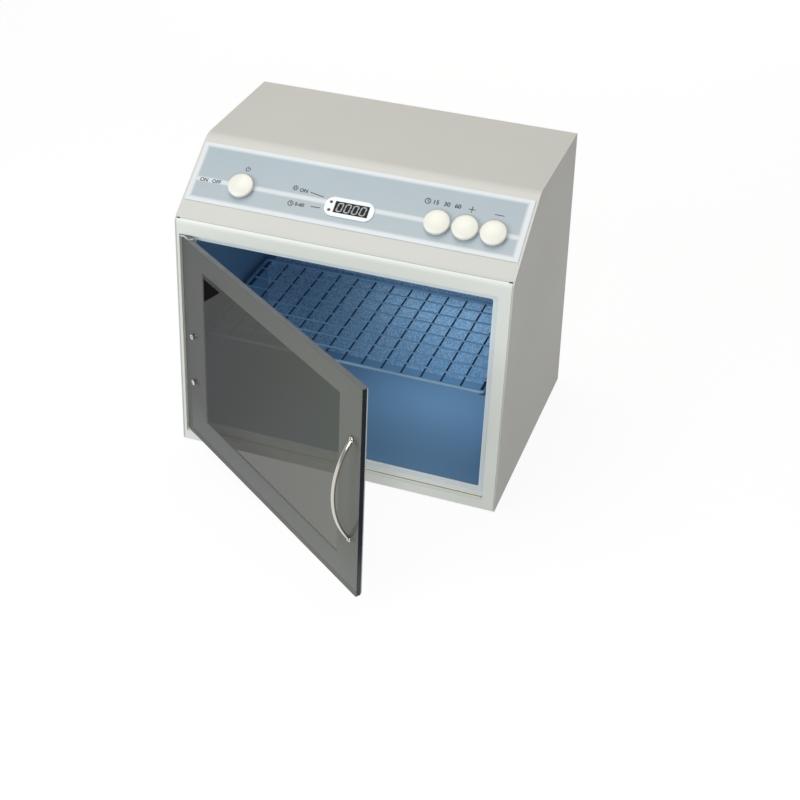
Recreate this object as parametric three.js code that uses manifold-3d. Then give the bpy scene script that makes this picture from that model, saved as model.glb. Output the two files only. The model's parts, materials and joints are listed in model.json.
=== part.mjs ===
import * as THREE from 'three';
import { mergeVertices } from 'three/addons/utils/BufferGeometryUtils.js';
import Module from 'manifold-3d';

// Tabletop cabinet that keeps sterile instruments under an ultraviolet lamp.
// Millimetres, X to the right, Y to the back, Z up. The origin is the middle
// of the footprint on the surface that the feet stand on.

// Housing
const width = 400;
const baseDepth = 307;
const topDepth = 262.5;
const bodyHeight = 372;
const slopeRise = 66.5;
const upperBendDepth = 93;
const lowerBendRadius = 12;
const upperBendRadius = 30;
const sheet = 1.5;
const footHeight = 3;
const seamAngle = THREE.MathUtils.degToRad(35);
const returnWidth = 14;
const returnStart = 14;

// General fits
const gap = 0.3;
const over = 8;

// Door pane and its swing
const paneFreeMargin = 18.8;
const paneTopDrop = 22;
const paneThickness = 5.5;
const paneBottom = 18.5;
const hingeFromSide = 9.5;
const hingeFromFront = 3;
const paneFromHinge = 0.7;
const paneProud = 0.2;
const openAngle = THREE.MathUtils.degToRad(36);
const lugRadius = 4;
const lugThickness = 2.4;
const lugArm = 14;
const pinRadius = 1.5;
const bracketWidth = 14;
const bracketHeight = 4.5;
const backingThickness = 1.5;
const backingInset = 1;
const backingHingeSide = 36;
const backingFreeSide = 48;
const backingTop = 33;
const backingBottom = 28;
const gasketThickness = 1.1;
const gasketInset = 1.2;

// Front frame
const rebateSideGap = 4.5;
const rebateFreeGap = 2.8;
const openingLeft = 22;
const openingFreeMargin = 23.5;
const openingBottom = 27.8;
const openingTopDrop = 27.5;
const openingCornerRadius = 2;

// Door furniture
const screwHeadRadius = 3.4;
const screwHeadHeight = 2.4;
const screwShankRadius = 2;
const screwTail = 3.5;
const nutHeight = 2.2;
const hingeScrewFromEdge = 19.3;
const hingeScrewRises = [79.3, 143.4];
const handleSpan = 128;
const handleRise = 23.4;
const handleFromFreeEdge = 16;
const handleWidth = 6.4;
const handleThickness = 4.2;
const handleFootRadius = 3.6;
const handleFootHeight = 3.2;

// Chamber
const chamberSideSpace = 20;
const chamberBackSpace = 82.7;
const chamberRoofDrop = 18.5;
const chamberFloor = 26;
const linerSheet = 1.2;
const supportWidth = 24;
const supportInset = 60;
const supportSheet = 1.5;
const supportSetback = 8;

// Wire shelf and its rails
const shelfRise = 129;
const shelfFromFront = 14;
const shelfFromBack = 18.3;
const shelfSideGap = 7;
const shelfAcross = 14;
const shelfDeep = 8;
const shelfRodRadius = 2;
const shelfWireRadius = 1.1;
const shelfMargin = 5;
const wireBite = 0.35;
const railWidth = 12;
const railDrop = 14;
const railSheet = 1.5;

// Lamp
const lampRadius = 8;
const lampEndSpace = 39;
const lampCapLength = 8;
const lampCapRadius = 8.3;
const lampPinRadius = 1.1;
const lampPinLength = 7;
const lampPinSpacing = 4.2;
const lampDrop = 20;
const lampFromFront = 110;
const holderWidth = 11;
const holderDepth = 20;
const holderBelow = 10;
const reflectorWidth = 90;
const reflectorFlat = 34;
const reflectorDrop = 16;
const reflectorSheet = 1;

// Control panel, measured up the slope from the lower bend
const overlaySideMargin = 3;
const overlayBottom = 26;
const overlayTopMargin = 11.3;
const overlayThickness = 0.6;
const buttonRow = 53.2;
const buttonRadius = 14.8;
const buttonTravel = 2.2;
const buttonEdgeHeight = 3.4;
const buttonDome = 3.6;
const buttonWall = 1.6;
const buttonStemRadius = 3;
const sleeveFlangeRadius = 11;
const sleeveFlange = 1.1;
const sleeveRadius = 7.5;
const sleeveLength = 12;
const powerButtonFromLeft = 65;
const lastButtonFromRight = 37;
const buttonPitch = 32.2;
const bezelWidth = 58;
const bezelHeight = 24;
const bezelRadius = 10.5;
const bezelThickness = 0.9;
const windowWidth = 40;
const windowHeight = 14;
const windowBelowButtons = 2.4;
const windowOffCentre = 0.7;
const indicatorFromWindow = 5.3;
const indicatorPitch = 10.2;
const indicatorRadius = 1.6;
const moduleDepth = 8;
const moduleMargin = 2.6;
const moduleGap = 1.5;
const socketHeight = 9;
const boardSideSpace = 14;
const boardHeight = 62;
const boardThickness = 1.6;
const boardDrop = 22;
const switchSide = 12;
const boardBracketWidth = 10;
const boardBracketSheet = 1.5;

// Rear
const backSheet = 1.5;
const ventCount = 9;
const ventWidth = 46;
const ventHeight = 4;
const ventPitch = 11;
const ventColumns = 3;
const ventSpacing = 4;
const ventFromTop = 126;
const inletWidth = 27;
const inletHeight = 32;
const inletDepth = 22;
const inletFlange = 4;
const inletFlangeThickness = 2.4;
const inletFromSide = 62;
const inletRow = 52;
const inletWall = 2;
const fuseWidth = 20;
const fuseHeight = 9;

// Base
const trayFlange = 5.5;
const footRadius = 9;
const footInset = 32;
const pocketDepth = 3;
const pocketWall = 2.4;

// Electrical parts on the chamber roof
const ballastLength = 150;
const ballastWidth = 40;
const ballastHeight = 28;
const ballastPlate = 2;
const ballastTab = 12;
const ballastFromSide = 90;
const ballastFromFront = 130;
const terminalLength = 56;
const terminalWidth = 20;
const terminalHeight = 16;
const terminalGap = 10;

const arcSteps = 10;
const roundSteps = 28;
const smallSteps = 14;
const rodSteps = 8;
const wireSteps = 6;
const nutSides = 6;

// Worked out from the sizes above
const frontY = -baseDepth / 2;
const left = -width / 2;
const bottomZ = footHeight;
const topZ = bottomZ + bodyHeight;
const lowerBendZ = topZ - slopeRise;
const slopeAngle = Math.atan2(slopeRise, upperBendDepth);
const slopeLength = Math.hypot(slopeRise, upperBendDepth);
const backAngle = Math.atan2(baseDepth - topDepth, bodyHeight);
const bendY = frontY + lowerBendRadius;
const bendZ = lowerBendZ - lowerBendRadius * Math.tan((Math.PI / 2 - slopeAngle) / 2);
const innerWidth = width - sheet - sheet;
const paneWidth = width - paneFreeMargin - hingeFromSide - paneFromHinge;
const paneHeight = lowerBendZ - paneTopDrop - paneBottom;
const openingTop = lowerBendZ - openingTopDrop;
const chamberWidth = width - chamberSideSpace - chamberSideSpace;
const chamberCeiling = lowerBendZ - chamberRoofDrop;
const shelfHeight = chamberFloor + shelfRise;
const lastButton = width - lastButtonFromRight;
const buttonPlaces = [
  powerButtonFromLeft, lastButton - buttonPitch - buttonPitch, lastButton - buttonPitch, lastButton];
const windowMiddle = width / 2 - windowOffCentre;
const windowRow = buttonRow - windowBelowButtons;
const indicatorPlace = windowMiddle - windowWidth / 2 - indicatorFromWindow;
const indicatorRows = [windowRow + indicatorPitch / 2, windowRow - indicatorPitch / 2];
const overlayTop = slopeLength - overlayTopMargin;
const boardWidth = width - boardSideSpace - boardSideSpace;
const lampLength = chamberWidth - lampEndSpace - lampEndSpace;

const wasm = await Module();
wasm.setup();

function toSolid(geometry) {
  const bare = geometry.clone();
  bare.deleteAttribute('normal');
  bare.deleteAttribute('uv');
  const merged = mergeVertices(bare);
  return new wasm.Manifold(new wasm.Mesh({
    numProp: 3,
    vertProperties: Float32Array.from(merged.attributes.position.array),
    triVerts: Uint32Array.from(merged.index.array),
  }));
}

function toGeometry(solid) {
  const { vertProperties, triVerts } = solid.getMesh();
  const geometry = new THREE.BufferGeometry();
  geometry.setAttribute('position', new THREE.BufferAttribute(new Float32Array(vertProperties), 3));
  geometry.setIndex(new THREE.BufferAttribute(new Uint32Array(triVerts), 1));
  geometry.computeVertexNormals();
  return geometry;
}

function cut(body, ...tools) {
  return toGeometry(tools.reduce((solid, tool) => solid.subtract(toSolid(tool)), toSolid(body)));
}

function join(body, ...others) {
  return toGeometry(others.reduce((solid, other) => solid.add(toSolid(other)), toSolid(body)));
}

function common(body, other) {
  return toGeometry(toSolid(body).intersect(toSolid(other)));
}

// A block between two corners.
function block(x0, x1, y0, y1, z0, z1) {
  return new THREE.BoxGeometry(x1 - x0, y1 - y0, z1 - z0)
    .translate((x0 + x1) / 2, (y0 + y1) / 2, (z0 + z1) / 2);
}

// A round bar along Z.
function bar(radius, x, y, z0, z1, steps = roundSteps) {
  return new THREE.CylinderGeometry(radius, radius, z1 - z0, steps)
    .rotateX(Math.PI / 2).translate(x, y, (z0 + z1) / 2);
}

function barAlongX(radius, x0, x1, y, z, steps = roundSteps) {
  return new THREE.CylinderGeometry(radius, radius, x1 - x0, steps)
    .rotateZ(Math.PI / 2).translate((x0 + x1) / 2, y, z);
}

function barAlongY(radius, x, y0, y1, z, steps = roundSteps) {
  return new THREE.CylinderGeometry(radius, radius, y1 - y0, steps)
    .translate(x, (y0 + y1) / 2, z);
}

// A closed outline whose corners are [x, y, radius]; each corner is rounded.
function roundedShape(corners) {
  const points = [];
  corners.forEach(([x, y, radius], i) => {
    const corner = new THREE.Vector2(x, y);
    if (!radius) {
      points.push(corner);
      return;
    }
    const [px, py] = corners[(i + corners.length - 1) % corners.length];
    const [nx, ny] = corners[(i + 1) % corners.length];
    const toPrev = new THREE.Vector2(px, py).sub(corner).normalize();
    const toNext = new THREE.Vector2(nx, ny).sub(corner).normalize();
    const half = Math.acos(THREE.MathUtils.clamp(toPrev.dot(toNext), -1, 1)) / 2;
    const centre = corner.clone().add(
      toPrev.clone().add(toNext).normalize().multiplyScalar(radius / Math.sin(half)));
    const start = corner.clone().add(toPrev.multiplyScalar(radius / Math.tan(half))).sub(centre);
    const end = corner.clone().add(toNext.multiplyScalar(radius / Math.tan(half))).sub(centre);
    let turn = end.angle() - start.angle();
    if (turn > Math.PI) turn -= 2 * Math.PI;
    if (turn < -Math.PI) turn += 2 * Math.PI;
    for (let k = 0; k <= arcSteps; k += 1) {
      points.push(start.clone().rotateAround(new THREE.Vector2(), (turn * k) / arcSteps).add(centre));
    }
  });
  return new THREE.Shape(points);
}

function extrude(shape, length) {
  return new THREE.ExtrudeGeometry(shape, { depth: length, bevelEnabled: false, curveSegments: arcSteps });
}

// A side outline drawn in Y and Z, carried along X.
const sideBasis = new THREE.Matrix4().makeBasis(
  new THREE.Vector3(0, 1, 0), new THREE.Vector3(0, 0, 1), new THREE.Vector3(1, 0, 0));

function prism(shape, x0, x1) {
  return extrude(shape, x1 - x0).applyMatrix4(sideBasis).translate(x0, 0, 0);
}

// The housing's side outline, drawn in by one distance for each face.
function sideOutline(front, slope, top, back, bottom) {
  const faces = [
    { at: [frontY, 0], out: [-1, 0], by: front },
    { at: [frontY, lowerBendZ], out: [-Math.sin(slopeAngle), Math.cos(slopeAngle)], by: slope },
    { at: [frontY, topZ], out: [0, 1], by: top },
    { at: [baseDepth / 2, bottomZ], out: [Math.cos(backAngle), Math.sin(backAngle)], by: back },
    { at: [0, bottomZ], out: [0, -1], by: bottom },
  ];
  const radii = [lowerBendRadius - front, upperBendRadius - slope, 0, 0, 0];
  return roundedShape(faces.map((face, i) => {
    const next = faces[(i + 1) % faces.length];
    const [a, b] = [face, next].map((f) => f.at[0] * f.out[0] + f.at[1] * f.out[1] - f.by);
    const det = face.out[0] * next.out[1] - face.out[1] * next.out[0];
    return [
      (a * next.out[1] - b * face.out[1]) / det,
      (b * face.out[0] - a * next.out[0]) / det,
      radii[i],
    ];
  }));
}

function roundedRectangle(x0, x1, y0, y1, radius) {
  return roundedShape([[x0, y0, radius], [x1, y0, radius], [x1, y1, radius], [x0, y1, radius]]);
}

const paints = {
  housing: { color: 0xc9c7c0, roughness: 0.45, metalness: 0 },
  frame: { color: 0xd4d6d0, roughness: 0.4, metalness: 0 },
  liner: { color: 0x7d9cb8, roughness: 0.35, metalness: 0.2 },
  steel: { color: 0xb8babb, roughness: 0.3, metalness: 0.9 },
  chrome: { color: 0xd9d9d6, roughness: 0.15, metalness: 1 },
  glass: { color: 0x5a5c58, roughness: 0.05, metalness: 0, transparent: true, opacity: 0.5 },
  lamp: { color: 0xe6edf2, roughness: 0.1, metalness: 0 },
  rubber: { color: 0x2a2a2a, roughness: 0.8, metalness: 0 },
  seal: { color: 0xd9d9d4, roughness: 0.7, metalness: 0 },
  overlay: { color: 0xb4c4cb, roughness: 0.4, metalness: 0 },
  white: { color: 0xf3f1ea, roughness: 0.35, metalness: 0 },
  dark: { color: 0x1b1b1d, roughness: 0.4, metalness: 0 },
  board: { color: 0x2f6b45, roughness: 0.6, metalness: 0 },
  red: { color: 0x9c2f2a, roughness: 0.4, metalness: 0 },
};

const cabinet = new THREE.Group();

function add(parent, name, paint, geometry) {
  const mesh = new THREE.Mesh(geometry, new THREE.MeshStandardMaterial(paints[paint]));
  mesh.name = name;
  parent.add(mesh);
  return mesh;
}

// Frames that carry turned pieces: the sloping panel, the leaning back, the door.
const panel = new THREE.Group();
panel.position.set(left, frontY, lowerBendZ);
panel.rotation.x = slopeAngle;
const rear = new THREE.Group();
rear.position.set(left, baseDepth / 2, bottomZ);
rear.rotation.x = backAngle;
const door = new THREE.Group();
door.position.set(left + hingeFromSide, frontY + hingeFromFront, 0);
door.rotation.z = -openAngle;
cabinet.add(panel, rear, door);
cabinet.updateMatrixWorld(true);
const onPanel = (geometry) => geometry.applyMatrix4(panel.matrixWorld);
const onRear = (geometry) => geometry.applyMatrix4(rear.matrixWorld);

// Heights above the sloping panel's skin
const overlayFace = gap + overlayThickness;
const sleeveBase = overlayFace + gap;
const boardFace = -boardDrop;
const stemEnd = -sleeveLength;
const sleeveHole = sleeveRadius + gap;
const windowLeft = windowMiddle - windowWidth / 2;
const windowRight = windowMiddle + windowWidth / 2;
const windowLow = windowRow - windowHeight / 2;
const windowHigh = windowRow + windowHeight / 2;

function panelHoles(margin, z0, z1) {
  const holes = buttonPlaces.map((x) => bar(sleeveHole + margin, x, buttonRow, z0, z1));
  indicatorRows.forEach((y) => {
    holes.push(bar(indicatorRadius + gap + margin, indicatorPlace, y, z0, z1, smallSteps));
  });
  const edge = gap + margin;
  holes.push(block(windowLeft - edge, windowRight + edge, windowLow - edge, windowHigh + edge, z0, z1));
  return holes;
}

// The front below the seam, which lies on the lower bend and is cut square
// to the sheet. Its angle is counted up from the front face.
function belowSeam(angle, x0, x1) {
  const reach = lowerBendRadius + over;
  return prism(new THREE.Shape([
    new THREE.Vector2(bendY, -over),
    new THREE.Vector2(bendY, bendZ),
    new THREE.Vector2(bendY - reach * Math.cos(angle), bendZ + reach * Math.sin(angle)),
    new THREE.Vector2(frontY - over, bendZ),
    new THREE.Vector2(frontY - over, -over),
  ]), x0, x1);
}

// The cover is one sheet bent over the front slope and the top, with both
// sides and a narrow return round the leaning back.
const returnBack = backSheet + gap;
const coverInside = prism(
  sideOutline(sheet, sheet, sheet, -over, -over), left + sheet, left + width - sheet);
const coverBlank = cut(prism(sideOutline(0, 0, 0, 0, 0), left, left + width), coverInside,
  belowSeam(seamAngle, left + sheet, left + width - sheet));
const returnSlab = cut(
  common(
    prism(sideOutline(sheet, sheet, sheet - gap, returnBack, 0), left + sheet / 2, left + width - sheet / 2),
    block(left, left + width, 0, baseDepth, bottomZ + returnStart, topZ)),
  prism(sideOutline(-over, -over, -over, returnBack + sheet, -over), left, left + width),
  prism(sideOutline(sheet, sheet, returnWidth, -over, -over), left + sheet + returnWidth,
    left + width - sheet - returnWidth));
add(cabinet, 'housing_shell', 'housing', cut(
  join(coverBlank, returnSlab),
  ...panelHoles(gap, -over, over).map(onPanel)));

// Base tray with a turned-up edge and four pockets that hold the feet.
const trayX = innerWidth / 2 - gap;
const trayFront = frontY + sheet + gap;
const trayBack = baseDepth / 2 - returnBack - gap - Math.tan(backAngle) * trayFlange;
const trayTop = bottomZ + sheet;
const footPlaces = [
  [left + footInset, frontY + footInset],
  [left + width - footInset, frontY + footInset],
  [left + footInset, baseDepth / 2 - footInset],
  [left + width - footInset, baseDepth / 2 - footInset],
];
const trayBlank = cut(
  block(-trayX, trayX, trayFront, trayBack, bottomZ, bottomZ + trayFlange),
  block(sheet - trayX, trayX - sheet, trayFront + sheet, trayBack - sheet,
    trayTop, bottomZ + trayFlange + over));
const pocketTop = bottomZ + pocketDepth;
add(cabinet, 'base_tray', 'steel', cut(
  join(trayBlank, ...footPlaces.map(([x, y]) => (
    bar(footRadius + gap + pocketWall, x, y, bottomZ, pocketTop + sheet)))),
  ...footPlaces.map(([x, y]) => bar(footRadius + gap, x, y, bottomZ - over, pocketTop))));
['front_left', 'front_right', 'rear_left', 'rear_right'].forEach((place, i) => {
  const [x, y] = footPlaces[i];
  add(cabinet, `foot_${place}`, 'rubber', bar(footRadius, x, y, 0, pocketTop - gap));
});

// Front frame: a plate with a sunk rebate that the door closes into. The
// plate's top follows the bend up to the seam.
const hingeX = left + hingeFromSide;
const hingeY = frontY + hingeFromFront;
const paneOuterY = -hingeFromFront - paneProud;
const paneInnerY = paneOuterY + paneThickness;
const backingY = paneInnerY + gap;
const backingInnerY = backingY + backingThickness;
const rebateDepth = hingeFromFront + backingInnerY + gap + gasketThickness;
const paneTop = paneBottom + paneHeight;
const rebateLeft = hingeX - rebateSideGap;
const rebateRight = hingeX + paneFromHinge + paneWidth + rebateFreeGap;
const rebateBottom = paneBottom - lugThickness - gap - gap - gap;
const rebateTop = paneTop + lugThickness + gap + gap + gap;
const rebateBack = frontY + rebateDepth;
const openingX0 = left + openingLeft;
const openingX1 = left + width - openingFreeMargin;
const openingShape = roundedRectangle(openingX0, openingX1, openingBottom, openingTop, openingCornerRadius);
const frontBasis = new THREE.Matrix4().makeBasis(
  new THREE.Vector3(1, 0, 0), new THREE.Vector3(0, 0, 1), new THREE.Vector3(0, -1, 0));
const facing = (shape, y0, y1) => extrude(shape, y1 - y0).applyMatrix4(frontBasis).translate(0, y1, 0);
const frameX = innerWidth / 2 - gap;
const framePlate = common(
  cut(prism(sideOutline(0, 0, 0, 0, 0), -frameX, frameX), coverInside),
  belowSeam(seamAngle - gap / lowerBendRadius, -frameX, frameX));
add(cabinet, 'front_frame', 'frame', cut(
  join(
    framePlate,
    block(rebateLeft - sheet, rebateRight + sheet, frontY, rebateBack + sheet,
      rebateBottom - sheet, rebateTop + sheet)),
  block(rebateLeft, rebateRight, frontY - over, rebateBack, rebateBottom, rebateTop),
  facing(openingShape, rebateBack - over, rebateBack + over),
  bar(pinRadius + gap, hingeX, hingeY, rebateBottom - over, rebateBottom + over, smallSteps),
  bar(pinRadius + gap, hingeX, hingeY, rebateTop - over, rebateTop + over, smallSteps)));

// Soft seal bonded round the opening, under the door's steel backing.
const gasketLeft = openingX0 - (openingX0 - rebateLeft) / 2;
const gasketOut = (rebateRight - openingX1 - gasketInset);
add(cabinet, 'door_gasket', 'seal', facing((() => {
  const ring = roundedRectangle(gasketLeft, openingX1 + gasketOut,
    openingBottom - gasketOut, openingTop + gasketOut, openingCornerRadius);
  ring.holes.push(roundedRectangle(openingX0 - gasketInset, openingX1 + gasketInset,
    openingBottom - gasketInset, openingTop + gasketInset, openingCornerRadius));
  return ring;
})(), rebateBack - gasketThickness, rebateBack));

// Hinge brackets behind the rebate's top and bottom walls, and their pins.
const bracketFront = frontY + sheet + gap;
const bracketBack = rebateBack + sheet;
function bracket(z0, z1) {
  return cut(
    block(left + sheet + gap + gap, hingeX + bracketWidth, bracketFront, bracketBack, z0, z1),
    bar(pinRadius + gap, hingeX, hingeY, z0 - over, z1 + over, smallSteps));
}
const upperBracket = rebateTop + sheet + gap;
const lowerBracket = rebateBottom - sheet - gap;
add(cabinet, 'hinge_bracket_top', 'steel', bracket(upperBracket, upperBracket + bracketHeight));
add(cabinet, 'hinge_bracket_bottom', 'steel', bracket(lowerBracket - bracketHeight, lowerBracket));
add(cabinet, 'hinge_pin_top', 'steel',
  bar(pinRadius, hingeX, hingeY, paneTop + gap, upperBracket + bracketHeight, smallSteps));
add(cabinet, 'hinge_pin_bottom', 'steel',
  bar(pinRadius, hingeX, hingeY, lowerBracket - bracketHeight, paneBottom - gap, smallSteps));

// Door, drawn shut with the hinge axis at its own origin.
const paneX0 = paneFromHinge;
const paneX1 = paneFromHinge + paneWidth;
const hingeScrewX = paneX0 + hingeScrewFromEdge;
const handleX = paneX1 - handleFromFreeEdge;
const handleZ = paneBottom + paneHeight / 2;
const handleScrews = [handleZ - handleSpan / 2, handleZ + handleSpan / 2];
const screwHoles = [
  ...hingeScrewRises.map((rise) => [hingeScrewX, paneBottom + rise]),
  ...handleScrews.map((z) => [handleX, z]),
];
const drilled = (extra) => screwHoles.map(([x, z]) => (
  barAlongY(screwShankRadius + gap + extra, x, paneOuterY - over, backingInnerY + over, z, smallSteps)));
add(door, 'door_glass', 'glass', cut(
  block(paneX0, paneX1, paneOuterY, paneInnerY, paneBottom, paneTop), ...drilled(0)));

function lug(z0, z1) {
  return cut(
    join(
      bar(lugRadius, 0, 0, z0, z1, roundSteps),
      block(0, lugArm, -lugRadius / 2, backingInnerY, z0, z1)),
    bar(pinRadius + gap, 0, 0, z0 - over, z1 + over, smallSteps));
}
const backingX1 = paneX1 - backingInset;
add(door, 'door_inner_frame', 'frame', cut(
  join(
    block(paneX0, backingX1, backingY, backingInnerY, paneBottom + backingInset, paneTop - backingInset),
    block(paneX0, lugArm, backingY, backingInnerY,
      paneBottom - gap - lugThickness, paneTop + gap + lugThickness),
    lug(paneTop + gap, paneTop + gap + lugThickness),
    lug(paneBottom - gap - lugThickness, paneBottom - gap)),
  block(paneX0 + backingHingeSide, paneX1 - backingFreeSide, backingY - over, backingInnerY + over,
    paneBottom + backingBottom, paneTop - backingTop),
  ...drilled(0)));

// Round-headed screws; a nut closes the hinge screws behind the backing.
function screw(x, z, headY, tailY) {
  const side = Math.sign(tailY - headY);
  const ends = [headY - side * screwHeadHeight, tailY].sort((a, b) => a - b);
  const head = [headY - side * screwHeadHeight, headY].sort((a, b) => a - b);
  return join(
    barAlongY(screwShankRadius, x, ...ends, z, smallSteps),
    barAlongY(screwHeadRadius, x, ...head, z));
}
const nutY = backingInnerY + gap;
hingeScrewRises.forEach((rise, i) => {
  const z = paneBottom + rise;
  add(door, `hinge_screw_${i + 1}`, 'chrome', join(
    screw(hingeScrewX, z, paneOuterY - gap, nutY + screwTail),
    barAlongY(screwHeadRadius, hingeScrewX, nutY, nutY + nutHeight, z, nutSides)));
});

// Bow handle: a slim bar bent to an arc between two feet.
const bowHalf = handleSpan / 2;
const bowRise = handleRise - handleThickness / 2;
const bowRadius = (bowHalf * bowHalf + bowRise * bowRise) / (2 * bowRise);
const bowSpread = Math.asin(bowHalf / bowRadius);
const bowCentreY = paneOuterY - gap - bowRise + bowRadius;
function bowOutline(radius) {
  const points = [];
  for (let k = 0; k <= roundSteps; k += 1) {
    const angle = bowSpread * ((2 * k) / roundSteps - 1);
    points.push(new THREE.Vector2(
      bowCentreY - radius * Math.cos(angle), handleZ + radius * Math.sin(angle)));
  }
  return points;
}
const bowStrap = prism(
  new THREE.Shape([
    ...bowOutline(bowRadius + handleThickness / 2),
    ...bowOutline(bowRadius - handleThickness / 2).reverse(),
  ]), handleX - handleWidth / 2, handleX + handleWidth / 2);
const footY = paneOuterY - gap;
const handleBody = cut(
  join(bowStrap, ...handleScrews.map((z) => (
    barAlongY(handleFootRadius, handleX, footY - handleFootHeight, footY, z)))),
  block(handleX - handleWidth, handleX + handleWidth, footY, footY + over + over,
    handleScrews[0] - over, handleScrews[1] + over),
  ...handleScrews.map((z) => barAlongY(
    screwShankRadius + gap, handleX, footY - handleFootHeight + gap, footY + over, z, smallSteps)));
add(door, 'door_handle', 'chrome', handleBody);
handleScrews.forEach((z, i) => {
  add(door, `handle_screw_${i + 1}`, 'steel',
    screw(handleX, z, nutY, footY - handleFootHeight + gap + gap));
});

// Chamber liner, open at the front, standing on two channels.
const linerFront = rebateBack + sheet + gap;
const linerBack = baseDepth / 2 - chamberBackSpace;
const linerX = chamberWidth / 2;
add(cabinet, 'chamber_liner', 'liner', cut(
  block(-linerX - linerSheet, linerX + linerSheet, linerFront, linerBack + linerSheet,
    chamberFloor - linerSheet, chamberCeiling + linerSheet),
  block(-linerX, linerX, linerFront - over, linerBack, chamberFloor, chamberCeiling)));
const supportTop = chamberFloor - linerSheet - gap;
[['left', -1], ['right', 1]].forEach(([side, sign]) => {
  const middle = sign * (width / 2 - supportInset);
  const x0 = middle - supportWidth / 2;
  const x1 = middle + supportWidth / 2;
  const y0 = linerFront + supportSetback;
  const y1 = linerBack - supportSetback;
  add(cabinet, `chamber_support_${side}`, 'steel', cut(
    block(x0, x1, y0, y1, trayTop + gap, supportTop),
    block(x0 + supportSheet, x1 - supportSheet, y0 - over, y1 + over,
      trayTop - over, supportTop - supportSheet)));
});

// Shelf rails: an angle on each side wall.
const railTop = shelfHeight - shelfRodRadius - gap;
const shelfFront = frontY + shelfFromFront;
const shelfBack = linerBack - shelfFromBack;
[['left', -1], ['right', 1]].forEach(([side, sign]) => {
  const wall = sign * (linerX - gap);
  const inside = sign * (linerX - gap - railWidth);
  const face = sign * (linerX - gap - railSheet);
  const [a, b] = [Math.min(wall, inside), Math.max(wall, inside)];
  const [c, d] = [Math.min(inside - sign * over, face), Math.max(inside - sign * over, face)];
  add(cabinet, `shelf_rail_${side}`, 'steel', cut(
    block(a, b, linerFront + gap, linerBack - gap, railTop - railDrop, railTop),
    block(c, d, linerFront - over, linerBack + over, railTop - railDrop - over, railTop - railSheet)));
});

// Wire shelf: a rod frame with wires across it and wires from front to back.
const rodX = linerX - shelfSideGap;
const wireX = rodX - shelfMargin;
const crossZ = shelfHeight - shelfRodRadius + shelfWireRadius;
const longZ = crossZ + shelfWireRadius + shelfWireRadius - wireBite;
const shelfParts = [];
[shelfFront, shelfBack].forEach((y) => {
  shelfParts.push(barAlongX(
    shelfRodRadius, -rodX - shelfRodRadius, rodX + shelfRodRadius, y, shelfHeight, rodSteps));
});
[-rodX, rodX].forEach((x) => {
  shelfParts.push(barAlongY(shelfRodRadius, x, shelfFront, shelfBack, shelfHeight, rodSteps));
});
for (let k = 1; k < shelfDeep; k += 1) {
  const y = shelfFront + ((shelfBack - shelfFront) * k) / shelfDeep;
  shelfParts.push(barAlongX(shelfWireRadius, -rodX, rodX, y, crossZ, wireSteps));
}
for (let k = 0; k <= shelfAcross; k += 1) {
  const x = wireX * ((2 * k) / shelfAcross - 1);
  shelfParts.push(barAlongY(shelfWireRadius, x, shelfFront, shelfBack, longZ, wireSteps));
}
add(cabinet, 'wire_shelf', 'chrome', join(...shelfParts));

// Lamp, its holders and the reflector under the chamber roof.
const lampY = frontY + lampFromFront;
const lampZ = chamberCeiling - reflectorSheet - gap - lampDrop;
const lampHalf = lampLength / 2;
const reflectorTop = chamberCeiling - gap;
const reflectorHalf = lampHalf + lampCapLength + holderWidth;
const reflectorBand = (drop) => [
  [lampY - reflectorWidth / 2, reflectorTop - reflectorDrop - drop],
  [lampY - reflectorFlat / 2, reflectorTop - drop],
  [lampY + reflectorFlat / 2, reflectorTop - drop],
  [lampY + reflectorWidth / 2, reflectorTop - reflectorDrop - drop],
];
add(cabinet, 'lamp_reflector', 'steel', prism(new THREE.Shape([
  ...reflectorBand(reflectorSheet), ...reflectorBand(0).reverse(),
].map(([y, z]) => new THREE.Vector2(y, z))), -reflectorHalf, reflectorHalf));
add(cabinet, 'uv_lamp', 'lamp', barAlongX(lampRadius, -lampHalf, lampHalf, lampY, lampZ));
const holderX = lampHalf + gap + lampCapLength + gap;
[['left', -1], ['right', 1]].forEach(([side, sign]) => {
  const capX = [sign * (lampHalf + gap), sign * (lampHalf + gap + lampCapLength)];
  const pinX = [capX[1], sign * (lampHalf + gap + lampCapLength + lampPinLength)];
  const span = (pair) => [Math.min(...pair), Math.max(...pair)];
  const pins = [-1, 1].map((k) => barAlongX(lampPinRadius, ...span([capX[0], pinX[1]]),
    lampY, lampZ + (k * lampPinSpacing) / 2, rodSteps));
  add(cabinet, `lamp_cap_${side}`, 'steel', join(
    barAlongX(lampCapRadius, ...span(capX), lampY, lampZ), ...pins));
  const bodyX = span([sign * holderX, sign * (holderX + holderWidth)]);
  const slotX = span([sign * (holderX - over), sign * (holderX + lampPinLength + gap)]);
  add(cabinet, `lamp_holder_${side}`, 'white', cut(
    block(...bodyX, lampY - holderDepth / 2, lampY + holderDepth / 2,
      lampZ - holderBelow, reflectorTop - reflectorSheet - gap),
    block(...slotX, lampY - lampPinRadius - gap, lampY + lampPinRadius + gap,
      lampZ - holderBelow - over, lampZ + lampPinSpacing / 2 + lampPinRadius + gap)));
});

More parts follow.
